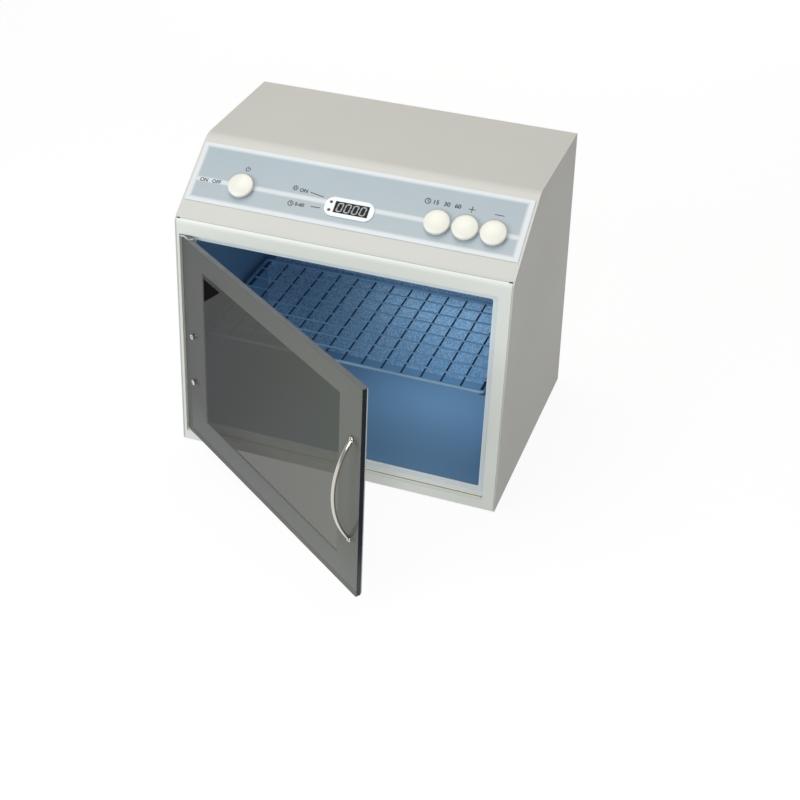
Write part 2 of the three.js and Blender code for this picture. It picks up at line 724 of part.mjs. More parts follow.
// Control panel pieces, drawn flat: X across, Y up the slope, Z out of it.
add(panel, 'control_overlay', 'overlay', cut(
  block(overlaySideMargin, width - overlaySideMargin, overlayBottom, overlayTop, gap, overlayFace),
  ...panelHoles(0, -over, over)));
const bezelX0 = (indicatorPlace + windowRight - bezelWidth) / 2;
add(panel, 'display_bezel', 'white', cut(
  extrude(roundedRectangle(bezelX0, bezelX0 + bezelWidth, windowRow - bezelHeight / 2,
    windowRow + bezelHeight / 2, bezelRadius), bezelThickness).translate(0, 0, sleeveBase),
  ...panelHoles(0, -over, over).slice(buttonPlaces.length)));
add(panel, 'display_window', 'dark',
  block(windowLeft, windowRight, windowLow, windowHigh, 0, sleeveBase + bezelThickness - gap));
const moduleX0 = indicatorPlace + indicatorRadius + moduleGap;
const moduleX1 = windowRight + moduleMargin;
const moduleTop = -sheet - gap;
add(panel, 'display_module', 'dark', join(
  block(moduleX0, moduleX1, windowLow - moduleMargin, windowHigh + moduleMargin,
    moduleTop - moduleDepth, moduleTop),
  block(moduleX0 + moduleMargin, moduleX1 - moduleMargin, windowRow - socketHeight / 2,
    windowRow + socketHeight / 2, boardFace + gap, moduleTop - moduleDepth / 2)));
indicatorRows.forEach((y, i) => {
  add(panel, `indicator_${i + 1}`, 'red',
    bar(indicatorRadius, indicatorPlace, y, boardFace + gap, sleeveBase + bezelThickness + gap, smallSteps));
});
add(panel, 'control_board', 'board', block(
  (width - boardWidth) / 2, (width + boardWidth) / 2, buttonRow - boardHeight / 2,
  buttonRow + boardHeight / 2, boardFace - boardThickness, boardFace));
[['left', 0], ['right', 1]].forEach(([side, k]) => {
  const x0 = k ? (width + boardWidth) / 2 - boardBracketWidth : (width - boardWidth) / 2;
  const x1 = x0 + boardBracketWidth;
  const y0 = buttonRow - boardHeight / 2;
  const y1 = buttonRow + boardHeight / 2;
  const ceiling = -sheet - gap;
  add(panel, `board_bracket_${side}`, 'steel', cut(
    block(x0, x1, y0, y1, boardFace + gap, ceiling),
    block(x0 - over, x1 + over, y0 + boardBracketWidth, y1 - boardBracketWidth,
      boardFace - over, ceiling - boardBracketSheet)));
});

const domeCurve = [];
for (let k = 0; k <= arcSteps; k += 1) {
  const angle = (Math.PI / 2) * (k / arcSteps);
  domeCurve.push(new THREE.Vector2(buttonRadius * Math.cos(angle),
    buttonEdgeHeight + buttonWall + buttonDome * Math.sin(angle)));
}
domeCurve[domeCurve.length - 1].x = 0;
const capFloor = buttonEdgeHeight + buttonWall;
const capBase = sleeveBase + sleeveFlange + gap + buttonTravel;
const capLift = capBase - capFloor;
const capProfile = [
  new THREE.Vector2(0, stemEnd),
  new THREE.Vector2(buttonStemRadius, stemEnd),
  new THREE.Vector2(buttonStemRadius, capBase),
  new THREE.Vector2(buttonRadius - buttonWall, capBase),
  new THREE.Vector2(buttonRadius - buttonWall, overlayFace + gap + buttonTravel),
  new THREE.Vector2(buttonRadius, overlayFace + gap + buttonTravel),
  ...domeCurve.map((p) => new THREE.Vector2(p.x, p.y + capLift + buttonWall)),
];
const switchTop = stemEnd - buttonTravel - gap;
buttonPlaces.forEach((x, i) => {
  const place = (geometry) => geometry.translate(x, buttonRow, 0);
  add(panel, `button_${i + 1}`, 'white', place(
    new THREE.LatheGeometry(capProfile, roundSteps).rotateX(Math.PI / 2)));
  add(panel, `button_sleeve_${i + 1}`, 'dark', place(cut(
    join(
      bar(sleeveFlangeRadius, 0, 0, sleeveBase, sleeveBase + sleeveFlange),
      bar(sleeveRadius, 0, 0, stemEnd + gap, sleeveBase + sleeveFlange / 2, roundSteps)),
    bar(buttonStemRadius + gap, 0, 0, stemEnd - over, sleeveBase + over, roundSteps))));
  add(panel, `button_switch_${i + 1}`, 'dark', place(block(
    -switchSide / 2, switchSide / 2, -switchSide / 2, switchSide / 2, boardFace + gap, switchTop)));
});

// Back panel with vents and the mains inlet, drawn upright: X across, Y out.
const panelHeight = (topZ - bottomZ - sheet - gap) / Math.cos(backAngle) - gap;
const ventStep = ventWidth + ventSpacing;
const ventLeft = (width - ventColumns * ventStep + ventSpacing) / 2;
const vents = [];
for (let k = 0; k < ventCount; k += 1) {
  const z = bodyHeight - ventFromTop + k * ventPitch;
  for (let column = 0; column < ventColumns; column += 1) {
    const x = ventLeft + column * ventStep;
    vents.push(block(x, x + ventWidth, -backSheet - over, over, z, z + ventHeight));
  }
}
const inletX0 = width - inletFromSide - inletWidth / 2;
const inletX1 = inletX0 + inletWidth;
const inletZ0 = inletRow - inletHeight / 2;
const inletZ1 = inletZ0 + inletHeight;
add(rear, 'back_panel', 'housing', cut(
  block(sheet + gap, width - sheet - gap, -backSheet, 0, gap, panelHeight),
  block(inletX0 - gap, inletX1 + gap, -backSheet - over, over, inletZ0 - gap, inletZ1 + gap),
  ...vents));
const fuseZ0 = inletZ0 + inletWall;
const fuseZ1 = fuseZ0 + fuseHeight;
const fuseX0 = (inletX0 + inletX1 - fuseWidth) / 2;
const fuseX1 = fuseX0 + fuseWidth;
add(rear, 'power_inlet', 'dark', cut(
  join(
    block(inletX0, inletX1, -inletDepth, inletFlangeThickness, inletZ0, inletZ1),
    block(inletX0 - inletFlange, inletX1 + inletFlange, gap, gap + inletFlangeThickness,
      inletZ0 - inletFlange, inletZ1 + inletFlange)),
  block(inletX0 + inletWall, inletX1 - inletWall, inletWall - inletDepth, over,
    fuseZ1 + inletWall, inletZ1 - inletWall),
  block(fuseX0 - gap, fuseX1 + gap, inletWall - inletDepth, over, fuseZ0 - gap, fuseZ1 + gap)));
add(rear, 'fuse_drawer', 'dark', block(
  fuseX0, fuseX1, inletWall + gap - inletDepth, gap + inletFlangeThickness, fuseZ0, fuseZ1));

// Lamp ballast and terminal block on the chamber roof.
const roof = chamberCeiling + linerSheet + gap;
const ballastX = left + ballastFromSide;
const ballastY = frontY + ballastFromFront;
add(cabinet, 'ballast', 'steel', join(
  block(ballastX, ballastX + ballastLength, ballastY, ballastY + ballastWidth, roof, roof + ballastHeight),
  block(ballastX - ballastTab, ballastX + ballastLength + ballastTab, ballastY, ballastY + ballastWidth,
    roof, roof + ballastPlate)));
const terminalY = ballastY + ballastWidth + terminalGap;
add(cabinet, 'terminal_block', 'white', block(
  ballastX, ballastX + terminalLength, terminalY, terminalY + terminalWidth, roof, roof + terminalHeight));

export default cabinet;
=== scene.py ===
import json
import math
import bmesh
import bpy
from mathutils import Euler, Matrix, Vector


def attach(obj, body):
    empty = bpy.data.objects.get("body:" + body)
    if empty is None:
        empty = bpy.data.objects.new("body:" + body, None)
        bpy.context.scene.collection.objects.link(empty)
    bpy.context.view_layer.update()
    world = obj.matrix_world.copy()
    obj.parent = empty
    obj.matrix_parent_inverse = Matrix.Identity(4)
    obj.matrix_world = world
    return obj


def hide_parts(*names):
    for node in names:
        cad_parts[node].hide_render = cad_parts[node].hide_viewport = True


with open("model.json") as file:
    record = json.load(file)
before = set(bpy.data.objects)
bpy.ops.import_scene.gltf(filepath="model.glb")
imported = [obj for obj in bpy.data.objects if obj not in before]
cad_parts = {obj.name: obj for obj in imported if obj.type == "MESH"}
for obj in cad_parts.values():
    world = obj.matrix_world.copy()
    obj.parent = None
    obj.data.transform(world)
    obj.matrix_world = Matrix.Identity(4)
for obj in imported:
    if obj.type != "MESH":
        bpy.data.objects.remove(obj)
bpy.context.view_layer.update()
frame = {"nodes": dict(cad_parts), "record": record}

nodes = frame["nodes"]
bodyOf = {n: body for body, names in frame["record"]["behaviour"]["bodies"].items() for n in names}
mm = 0.001

# Turned frames: the sloping panel, the open door and the leaning back
tilts = {"panelRise": 66.5, "panelRun": 93, "backRun": 44.5, "backRise": 372, "doorOpen": -36}
panelOrigin, doorOrigin, backOrigin = (-0.2, -0.1535, 0.3085), (-0.1905, -0.1505, 0), (-0.2, 0.1535, 0.003)
slopeAngle = math.atan2(tilts["panelRise"], tilts["panelRun"])
backAngle = math.atan2(tilts["backRun"], tilts["backRise"])
doorTurn = math.radians(tilts["doorOpen"])
panelFrame = Matrix.Translation(panelOrigin) @ Matrix.Rotation(slopeAngle, 4, "X")
doorFrame = Matrix.Translation(doorOrigin) @ Matrix.Rotation(doorTurn, 4, "Z")
backFrame = Matrix.Translation(backOrigin) @ Matrix.Rotation(backAngle, 4, "X")
doorOut = (doorFrame.to_3x3() @ Vector((0, -1, 0))).normalized()
doorAcross = (doorFrame.to_3x3() @ Vector((1, 0, 0))).normalized()


# A move in millimetres
def shift(x, y, z):
    return Matrix.Translation((x * mm, y * mm, z * mm))


# Linear colour from 0 to 255 display values
def rgb(r, g, b):
    return tuple(((c / 255 + 0.055) / 1.055) ** 2.4 if c > 10 else c / 255 / 12.92 for c in (r, g, b))


# Nodes, for materials and for geometry trees: an input takes a value or another node's output
def feed(tree, node, inputs):
    for name, value in inputs.items():
        socket = node.inputs[name]
        if isinstance(value, bpy.types.NodeSocket):
            tree.links.new(value, socket)
        else:
            socket.default_value = (*value, 1) if socket.type == "RGBA" else value


def addNode(tree, kind, inputs, **options):
    node = tree.nodes.new(kind)
    for key, value in options.items():
        setattr(node, key, value)
    feed(tree, node, inputs)
    return node


def mathNode(tree, operation, first, second=0.0):
    return addNode(tree, "ShaderNodeMath", {0: first, 1: second}, operation=operation).outputs[0]


# Object coordinates, or with an origin those of the turned frame that stands there
def mapped(tree, stretch=(1, 1, 1), turn=(0, 0, 0), origin=None):
    where = tree.nodes.new("ShaderNodeTexCoord").outputs["Object"]
    inputs = {"Vector": where, "Location": origin or (0, 0, 0), "Rotation": turn, "Scale": stretch}
    return addNode(tree, "ShaderNodeMapping", inputs, vector_type="TEXTURE" if origin else "POINT").outputs[0]


def axesOf(tree, where):
    return addNode(tree, "ShaderNodeSeparateXYZ", {0: where}).outputs


def noiseOf(tree, where, scale, detail=3.0):
    inputs = {"Vector": where, "Scale": scale, "Detail": detail}
    return addNode(tree, "ShaderNodeTexNoise", inputs).outputs["Fac"]


def mixedColour(tree, fac, first, second):
    return addNode(tree, "ShaderNodeMix", {0: fac, 6: first, 7: second}, data_type="RGBA").outputs[2]


def mixedValue(tree, fac, first, second):
    return addNode(tree, "ShaderNodeMix", {0: fac, 2: first, 3: second}).outputs[0]


def ranged(tree, value, low, high, toLow=0.0, toHigh=1.0, smooth=False):
    inputs = {"Value": value, "From Min": low, "From Max": high, "To Min": toLow, "To Max": toHigh}
    kind = "SMOOTHSTEP" if smooth else "LINEAR"
    return addNode(tree, "ShaderNodeMapRange", inputs, interpolation_type=kind).outputs["Result"]


def startMaterial(name):
    material = bpy.data.materials.new(name)
    material.use_nodes = True
    return material, material.node_tree, material.node_tree.nodes["Principled BSDF"]


surface = {"cloud": (0.3, 0.7), "depth": 0.0002, "detail": 2.0, "coatRough": 0.08}


def cloudOf(tree, where, scale, low=0.0, high=1.0):
    return ranged(tree, noiseOf(tree, where, scale), *surface["cloud"], low, high)


def finishOf(name, colour, rough, metal, vary, varyScale, bump, bumpScale,
             stretch=(1, 1, 1), roughVary=0.05, coat=0.0, specular=0.5):
    material, tree, shader = startMaterial(name)
    where = mapped(tree, stretch)
    broad = noiseOf(tree, where, varyScale)
    relief = addNode(tree, "ShaderNodeBump", {
        "Strength": bump, "Distance": surface["depth"],
        "Height": noiseOf(tree, where, bumpScale, surface["detail"])})
    feed(tree, shader, {
        "Base Color": mixedColour(tree, ranged(tree, broad, *surface["cloud"]),
                                  [c * (1 - vary) for c in colour], [min(1, c * (1 + vary)) for c in colour]),
        "Roughness": ranged(tree, broad, *surface["cloud"], rough - roughVary, rough + roughVary),
        "Normal": relief.outputs["Normal"], "Metallic": metal, "Coat Weight": coat,
        "Coat Roughness": surface["coatRough"], "Specular IOR Level": specular})
    return material


# Colour, roughness, metal, then strength and scale of the change in colour and of the relief
finishes = {
    "coverPaint": (rgb(208, 207, 202), 0.42, 0.0, 0.015, 5, 0.12, 700),
    "framePaint": (rgb(237, 237, 230), 0.38, 0.0, 0.012, 6, 0.1, 700),
    "innerFramePaint": (rgb(214, 214, 208), 0.5, 0.0, 0.02, 8, 0.1, 600),
    "sealRubber": (rgb(222, 229, 236), 0.6, 0.0, 0.03, 20, 0.15, 400),
    "zincSheet": (rgb(176, 178, 178), 0.4, 0.85, 0.12, 26, 0.12, 300),
    # The blue of the rail, the shelf wires and the liner is painted blue light from the lamp
    "railSteel": (rgb(98, 136, 170), 0.4, 0.25, 0.06, 20, 0.1, 300),
    "polishedMetal": (rgb(204, 201, 192), 0.14, 1.0, 0.03, 14, 0.04, 160),
    "wireMetal": (rgb(118, 160, 200), 0.5, 0.0, 0.06, 30, 0.08, 420),
    # painted shade: a dark copy of the wire colour for the long wires; painted highlight: a light copy for
    # the front rod
    "shadedLongWire": (rgb(46, 76, 112), 0.6, 0.1, 0.08, 30, 0.08, 420),
    "highlitRod": (rgb(138, 172, 200), 0.5, 0.0, 0.05, 30, 0.08, 420),
    "whitePlastic": (rgb(240, 237, 228), 0.3, 0.0, 0.015, 18, 0.05, 500),
    "bezelPlastic": (rgb(240, 243, 245), 0.35, 0.0, 0.015, 18, 0.05, 500),
    "blackPlastic": (rgb(26, 26, 28), 0.42, 0.0, 0.15, 24, 0.2, 600),
    # partly a joint, partly painted shade in the rebate's corner
    "jointAndShadeGrey": (rgb(158, 154, 150), 0.6, 0.0, 0.1, 40, 0.2, 500),
    # painted shade for the pane's hinge corner
    "paintedShadeBlack": ((0.004, 0.003, 0.002), 0.9, 0.0, 0.3, 60, 0.1, 900),
    "footRubber": (rgb(34, 34, 35), 0.75, 0.0, 0.2, 60, 0.35, 500),
    "boardGreen": (rgb(44, 104, 68), 0.45, 0.0, 0.15, 90, 0.2, 260),
    "ballastSheet": (rgb(188, 188, 184), 0.45, 0.6, 0.08, 30, 0.1, 900),
    "windowPlastic": (rgb(12, 12, 14), 0.16, 0.0, 0.1, 40, 0.02, 300),
    "segmentGrey": (rgb(165, 170, 174), 0.4, 0.0, 0.1, 200, 0.05, 900),
    "indicatorLens": (rgb(92, 40, 44), 0.2, 0.0, 0.12, 300, 0.05, 900),
    "markInk": (rgb(46, 54, 60), 0.45, 0.0, 0.12, 300, 0.05, 900),
    "paneEdge": (rgb(18, 28, 36), 0.25, 0.0, 0.2, 40, 0.15, 500),
    "printedEdge": ((0.48, 0.48, 0.47), 0.5, 0.0, 0.05, 40, 0.15, 500),
    # partly the grey of a raw cut edge, partly painted shade on top edges that face the light
    "cutEdgeAndShade": (rgb(104, 108, 112), 0.5, 0.0, 0.1, 60, 0.2, 500),
    # painted blue light on the liner
    "linerSheet": (rgb(112, 151, 184), 0.42, 0.15, 0.05, 3, 0.12, 90),
}
finishExtras = {
    "polishedMetal": {"roughVary": 0.04}, "wireMetal": {"roughVary": 0.06},
    "shadedLongWire": {"roughVary": 0.06}, "highlitRod": {"roughVary": 0.06},
    "whitePlastic": {"coat": 0.15}, "paintedShadeBlack": {"specular": 0.05},
    "windowPlastic": {"specular": 0.15}, "linerSheet": {"stretch": (1, 1, 22), "roughVary": 0.08},
}
looks = {name: finishOf(name, *values, **finishExtras.get(name, {})) for name, values in finishes.items()}

# grain colours, lighter than the liner as painted light
liner = {"backWall": 0.068, "grain": 420.0, "detail": 1.0, "span": (0.35, 0.65),
         "low": rgb(112, 154, 192), "high": rgb(152, 190, 220)}


# The back wall behind the shelf is a grained sheet, in colours lighter than the other walls as painted light
def grainAndLightBackWall():
    tree = looks["linerSheet"].node_tree
    shader = tree.nodes["Principled BSDF"]
    where = mapped(tree)
    grain = ranged(tree, noiseOf(tree, where, liner["grain"], liner["detail"]), *liner["span"])
    onBack = ranged(tree, axesOf(tree, where)[1], liner["backWall"], liner["backWall"] + mm)
    painted = shader.inputs["Base Color"].links[0].from_socket
    grainAndLight = mixedColour(tree, grain, liner["low"], liner["high"])
    feed(tree, shader, {"Base Color": mixedColour(tree, onBack, painted, grainAndLight)})


grainAndLightBackWall()


# How far a coordinate lies outside a stretch, negative inside it
def outsideOf(tree, value, low, high):
    away = mathNode(tree, "ABSOLUTE", mathNode(tree, "SUBTRACT", value, (low + high) / 2))
    return mathNode(tree, "SUBTRACT", away, (high - low) / 2)


# Smoked all over, with a grey border printed on the inner face round the frame's hole. The clear zone's olive
# colour is a painted reflection that fades to black towards the hinge; the border's print carries painted
# light, lighter towards the free edge and near the bottom
pane = {"left": 36.7 * mm, "right": 323.7 * mm, "low": 46.5 * mm, "high": 253.5 * mm, "soft": 0.8 * mm,
        "innerFace": 1 * mm, "lowerFrom": 76.5 * mm, "lowerTo": 26.5 * mm,
        "clearAlpha": 0.66, "borderAlpha": 1.0, "shadowAlpha": 0.2,
        "index": 1.29, "rough": (0.02, 0.05), "cloud": 30,
        # reflection colours are painted reflection; border colours are print with painted light, lighter at
        # the free edge and at the bottom
        "reflectionHinge": (0.003, 0.003, 0.0), "reflectionFree": (0.059, 0.060, 0.041),
        "borderHinge": (0.49, 0.49, 0.48), "borderFree": (0.55, 0.54, 0.52), "borderLow": (0.71, 0.695, 0.71)}


def smokedGlass():
    material, tree, shader = startMaterial("smokedGlass")
    where = mapped(tree, turn=(0, 0, doorTurn), origin=doorOrigin)
    across, inwards, up = axesOf(tree, where)
    margin = mathNode(tree, "MAXIMUM", outsideOf(tree, across, pane["left"], pane["right"]),
                      outsideOf(tree, up, pane["low"], pane["high"]))
    border = mathNode(tree, "MULTIPLY", ranged(tree, margin, -pane["soft"], pane["soft"], smooth=True),
                      ranged(tree, inwards, -pane["innerFace"], pane["innerFace"]))
    towardsFree = ranged(tree, across, pane["left"], pane["right"])
    lower = ranged(tree, up, pane["lowerFrom"], pane["lowerTo"], smooth=True)
    # painted reflection: the clear zone's olive haze, black at the hinge
    clear = mixedColour(tree, towardsFree, pane["reflectionHinge"], pane["reflectionFree"])
    # painted light: the printed border grows lighter towards the free edge and lighter still near the bottom
    printed = mixedColour(tree, towardsFree, pane["borderHinge"], pane["borderFree"])
    printed = mixedColour(tree, lower, printed, pane["borderLow"])
    seen = ranged(tree, border, 0, 1, pane["clearAlpha"], pane["borderAlpha"])
    ray = tree.nodes.new("ShaderNodeLightPath")      # thin glass throws a lighter shadow than its look
    feed(tree, shader, {"Base Color": mixedColour(tree, border, clear, printed),
                        "Alpha": mixedValue(tree, ray.outputs["Is Shadow Ray"], seen, pane["shadowAlpha"]),
                        "Roughness": cloudOf(tree, where, pane["cloud"], *pane["rough"]),
                        "IOR": pane["index"]})
    return material


lamp = {"glass": ((0.55, 0.72, 0.95), (0.62, 0.8, 1.0)), "glow": ((0.30, 0.58, 1.0), (0.38, 0.66, 1.0)),
        "power": 0.25, "rough": 0.1, "cloud": 22}


def lampGlass():
    material, tree, shader = startMaterial("lampGlass")
    cloud = cloudOf(tree, mapped(tree), lamp["cloud"])
    feed(tree, shader, {"Base Color": mixedColour(tree, cloud, *lamp["glass"]),
                        "Emission Color": mixedColour(tree, cloud, *lamp["glow"]),
                        "Emission Strength": lamp["power"], "Roughness": lamp["rough"]})
    return material


# The film's blue field has soft white margins and a soft white band through the buttons
film = {"left": 8.5 * mm, "right": 390.5 * mm, "low": 31.5 * mm, "high": 98 * mm, "blur": 2.4 * mm,
        "band": 55 * mm, "bandHalf": 1.1 * mm, "bandBlur": 3.2 * mm, "bandWhite": 0.82, "cloudGain": 1.06,
        "blue": rgb(165, 178, 187), "lowBlue": rgb(176, 186, 193), "white": rgb(221, 224, 228),
        "rough": (0.3, 0.36), "cloud": 16}


def panelFilm():
    material, tree, shader = startMaterial("panelFilm")
    where = mapped(tree, turn=(slopeAngle, 0, 0), origin=panelOrigin)
    across, up = axesOf(tree, where)[:2]
    margin = mathNode(tree, "MAXIMUM", outsideOf(tree, across, film["left"], film["right"]),
                      outsideOf(tree, up, film["low"], film["high"]))
    white = ranged(tree, margin, -film["blur"], film["blur"], smooth=True)
    band = mathNode(tree, "ABSOLUTE", mathNode(tree, "SUBTRACT", up, film["band"]))
    stripe = ranged(tree, band, film["bandHalf"], film["bandHalf"] + film["bandBlur"], film["bandWhite"], 0.0,
                    smooth=True)
    cloud = cloudOf(tree, where, film["cloud"])
    field = mixedColour(tree, cloud, film["blue"], [c * film["cloudGain"] for c in film["blue"]])
    field = mixedColour(tree, ranged(tree, up, film["low"], film["high"]), film["lowBlue"], field)
    whitened = mathNode(tree, "MAXIMUM", white, stripe)
    feed(tree, shader, {"Base Color": mixedColour(tree, whitened, field, film["white"]),
                        "Roughness": ranged(tree, cloud, 0, 1, *film["rough"])})
    return material


looks.update(smokedGlass=smokedGlass(), lampGlass=lampGlass(), panelFilm=panelFilm())
print("materials ready")


# Pieces
def addPiece(name, mesh, look=None):
    piece = bpy.data.objects.new(name, mesh)
    bpy.context.scene.collection.objects.link(piece)
    if look:
        mesh.materials.clear()
        mesh.materials.append(looks[look])
    return piece


def applyModifiers(piece):
    graph = bpy.context.evaluated_depsgraph_get()
    mesh = bpy.data.meshes.new_from_object(piece.evaluated_get(graph))
    piece.modifiers.clear()
    piece.data = mesh
    if len(mesh.materials) > 1 and mesh.materials[0] is None:      # the empty slot that a tree leaves
        used = [polygon.material_index for polygon in mesh.polygons]
        mesh.materials.pop(index=0)
        for polygon, slot in zip(mesh.polygons, used):
            polygon.material_index = max(slot - 1, 0)
    return mesh


def addModifier(piece, name, kind, **options):
    modifier = piece.modifiers.new(name, kind)
    for key, value in options.items():
        setattr(modifier, key, value)
    return modifier


def cutAway(piece, tool):
    addModifier(piece, "cut", "BOOLEAN", operation="DIFFERENCE", object=tool, solver="EXACT")
    applyModifiers(piece)


# How edges are found and shaded: merge in metres, flat, broken and square in radians
rounding = {"merge": 2e-6, "flat": math.radians(0.4), "broken": math.radians(28), "square": 1.4,
            "along": 0.99, "cornerSegments": 6, "faceWeight": 80}


def shadeByAngle(mesh, degrees=32):
    for face in mesh.polygons:
        face.use_smooth = True
    mesh.set_sharp_from_angle(angle=math.radians(degrees))


# Smooth edges and flat faces: each corner follows the larger face beside it
def shadePiece(piece, degrees=32):
    shadeByAngle(piece.data, degrees)
    addModifier(piece, "flatFaces", "WEIGHTED_NORMAL", weight=rounding["faceWeight"], keep_sharp=True)
    applyModifiers(piece)


def finishPiece(piece, body, *replaced):
    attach(piece, body)
    if replaced:
        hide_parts(*replaced)
    return piece


# The node's own solid with its edges broken, as bent or moulded pieces have
def roundedCopy(node, name, look, edge=0.4, segments=2, shade=32, cutter=None, corners=0.0):
    mesh = nodes[node].data.copy()
    mesh.name = name
    if "custom_normal" in mesh.attributes:
        mesh.attributes.remove(mesh.attributes["custom_normal"])
    solid = bmesh.new()
    solid.from_mesh(mesh)
    bmesh.ops.remove_doubles(solid, verts=solid.verts, dist=rounding["merge"])
    bmesh.ops.dissolve_limit(solid, angle_limit=rounding["flat"], verts=solid.verts, edges=solid.edges)
    if corners:
        square = [e for e in solid.edges
                  if len(e.link_faces) == 2 and e.calc_face_angle() > rounding["square"]
                  and abs((e.verts[1].co - e.verts[0].co).normalized().dot(doorOut)) > rounding["along"]]
        bmesh.ops.bevel(solid, geom=square, offset=corners * mm, segments=rounding["cornerSegments"],
                        profile=0.5, affect="EDGES")
    solid.to_mesh(mesh)
    solid.free()
    piece = addPiece(name, mesh, look)
    addModifier(piece, "brokenEdges", "BEVEL", width=edge * mm, segments=segments, limit_method="ANGLE",
                angle_limit=rounding["broken"])
    applyModifiers(piece)
    if cutter:
        cutAway(piece, cutter)
    shadePiece(piece, shade)
    return finishPiece(piece, bodyOf[node], node)


def roundedCopies(*rows):
    for row in rows:
        roundedCopy(*row)


# A closed turned solid: the profile runs from the axis to the axis, as radius and height in mm
def lathe(profile, steps=64):
    solid = bmesh.new()
    rings = [[solid.verts.new((radius * mm * math.cos(2 * math.pi * k / steps),
                               radius * mm * math.sin(2 * math.pi * k / steps), height * mm))
              for k in range(steps if radius else 1)] for radius, height in profile]
    for low, high in zip(rings, rings[1:]):
        for k in range(steps):
            n = (k + 1) % steps
            corners = [low[k % len(low)], low[n % len(low)], high[n % len(high)], high[k % len(high)]]
            corners = [v for i, v in enumerate(corners) if v not in corners[:i]]
            if len(corners) > 2:
                solid.faces.new(corners)
    bmesh.ops.recalc_face_normals(solid, faces=solid.faces)
    return solid


# A closed solid through rings of points in mm, with flat ends
def loft(rings):
    solid = bmesh.new()
    made = [[solid.verts.new(Vector(point) * mm) for point in ring] for ring in rings]
    solid.faces.new(made[0])
    solid.faces.new(made[-1])
    for low, high in zip(made, made[1:]):
        for k in range(len(low)):
            n = (k + 1) % len(low)
            solid.faces.new((low[k], low[n], high[n], high[k]))
    bmesh.ops.recalc_face_normals(solid, faces=solid.faces)
    return solid


def meshFrom(solid, name, place=None):
    mesh = bpy.data.meshes.new(name)
    solid.to_mesh(mesh)
    solid.free()
    if place:
        mesh.transform(place)
    return mesh


def joined(meshes):
    whole = bmesh.new()
    for mesh in meshes:
        whole.from_mesh(mesh)
        bpy.data.meshes.remove(mesh)
    return whole


# A box between two corners in mm
def boxInto(solid, low, high):
    made = bmesh.ops.create_cube(solid, size=1)
    size = [(b - a) * mm for a, b in zip(low, high)]
    middle = Vector([(a + b) / 2 * mm for a, b in zip(low, high)])
    for vert in made["verts"]:
        vert.co = Vector([c * s for c, s in zip(vert.co, size)]) + middle


def arcPoints(centre, radius, start, end, steps):
    angles = [math.radians(start + (end - start) * k / steps) for k in range(steps + 1)]
    return [(centre[0] + radius * math.cos(a), centre[1] + radius * math.sin(a)) for a in angles]


# The side of a dome, from its rim upwards, at these degrees
def domePoints(radius, base, rise, angles):
    return [(radius * math.cos(math.radians(a)), base + rise * math.sin(math.radians(a))) for a in angles]


# Node trees for what repeats
def startTree(name, sockets):
    tree = bpy.data.node_groups.new(name, "GeometryNodeTree")
    for kind, labels in sockets.items():
        for label in labels:
            tree.interface.new_socket(label, in_out="INPUT", socket_type=f"NodeSocket{kind}")
    tree.interface.new_socket("Result", in_out="OUTPUT", socket_type="NodeSocketGeometry")
    return tree, tree.nodes.new("NodeGroupInput").outputs


def instancesOn(tree, points, item, **more):
    inputs = {"Points": points, "Instance": item, **more}
    return addNode(tree, "GeometryNodeInstanceOnPoints", inputs).outputs["Instances"]


def realized(tree, geometry):
    return addNode(tree, "GeometryNodeRealizeInstances", {"Geometry": geometry}).outputs["Geometry"]


def endTree(tree, geometry, finish):
    inputs = {"Geometry": realized(tree, geometry), "Material": finish}
    painted = addNode(tree, "GeometryNodeSetMaterial", inputs).outputs["Geometry"]
    addNode(tree, "NodeGroupOutput", {"Result": painted})


# Sets one item on every point of a mesh, turned as the point's own attribute says
def scatterTree():
    tree, given = startTree("itemOnPoints", {"Geometry": ["Points"], "Object": ["Item"],
                                             "Float": ["Item Size"], "Material": ["Finish"]})
    item = addNode(tree, "GeometryNodeObjectInfo", {"Object": given["Item"]}).outputs["Geometry"]
    turn = addNode(tree, "GeometryNodeInputNamedAttribute", {"Name": "turn"}, data_type="FLOAT_VECTOR")
    placed = instancesOn(tree, given["Points"], item, Rotation=turn.outputs["Attribute"],
                         Scale=given["Item Size"])
    endTree(tree, placed, given["Finish"])
    return tree


def setInputs(modifier, values):
    for item in modifier.node_group.interface.items_tree:
        if item.item_type == "SOCKET" and item.in_out == "INPUT" and item.name in values:
            modifier[item.identifier] = values[item.name]


itemOnPoints = scatterTree()


# places holds (x, y, z, turn about x, about y, about z); one mesh comes back
def scattered(name, item, places, look, place, size=1.0, shade=32):
    mesh = bpy.data.meshes.new(name)
    mesh.from_pydata([p[:3] for p in places], [], [])
    turn = mesh.attributes.new("turn", "FLOAT_VECTOR", "POINT")
    for k, p in enumerate(places):
        turn.data[k].vector = p[3:]
    piece = addPiece(name, mesh)
    modifier = addModifier(piece, "itemOnPoints", "NODES", node_group=itemOnPoints)
    setInputs(modifier, {"Item": item, "Item Size": size, "Finish": looks[look]})
    made = applyModifiers(piece)
    made.transform(place)
    shadeByAngle(made, shade)
    return piece


def dropItem(item):
    mesh = item.data
    bpy.data.objects.remove(item)
    bpy.data.meshes.remove(mesh)


# Housing
seam = {"inner": 194.0, "outer": 198.4, "middle": (-151.3, 308.9), "deep": 4.0, "high": 1.7}


# Bend reliefs: two short slots where the seam between cover and frame meets the sides
def seamReliefs():
    solid = bmesh.new()
    y, z = seam["middle"]
    deep, half = seam["deep"], seam["high"] / 2
    for low, high in ((-seam["outer"], -seam["inner"]), (seam["inner"], seam["outer"])):
        boxInto(solid, (low, y - deep, z - half), (high, y + deep, z + half))
    return addPiece("seamReliefs", meshFrom(solid, "seamReliefs"))


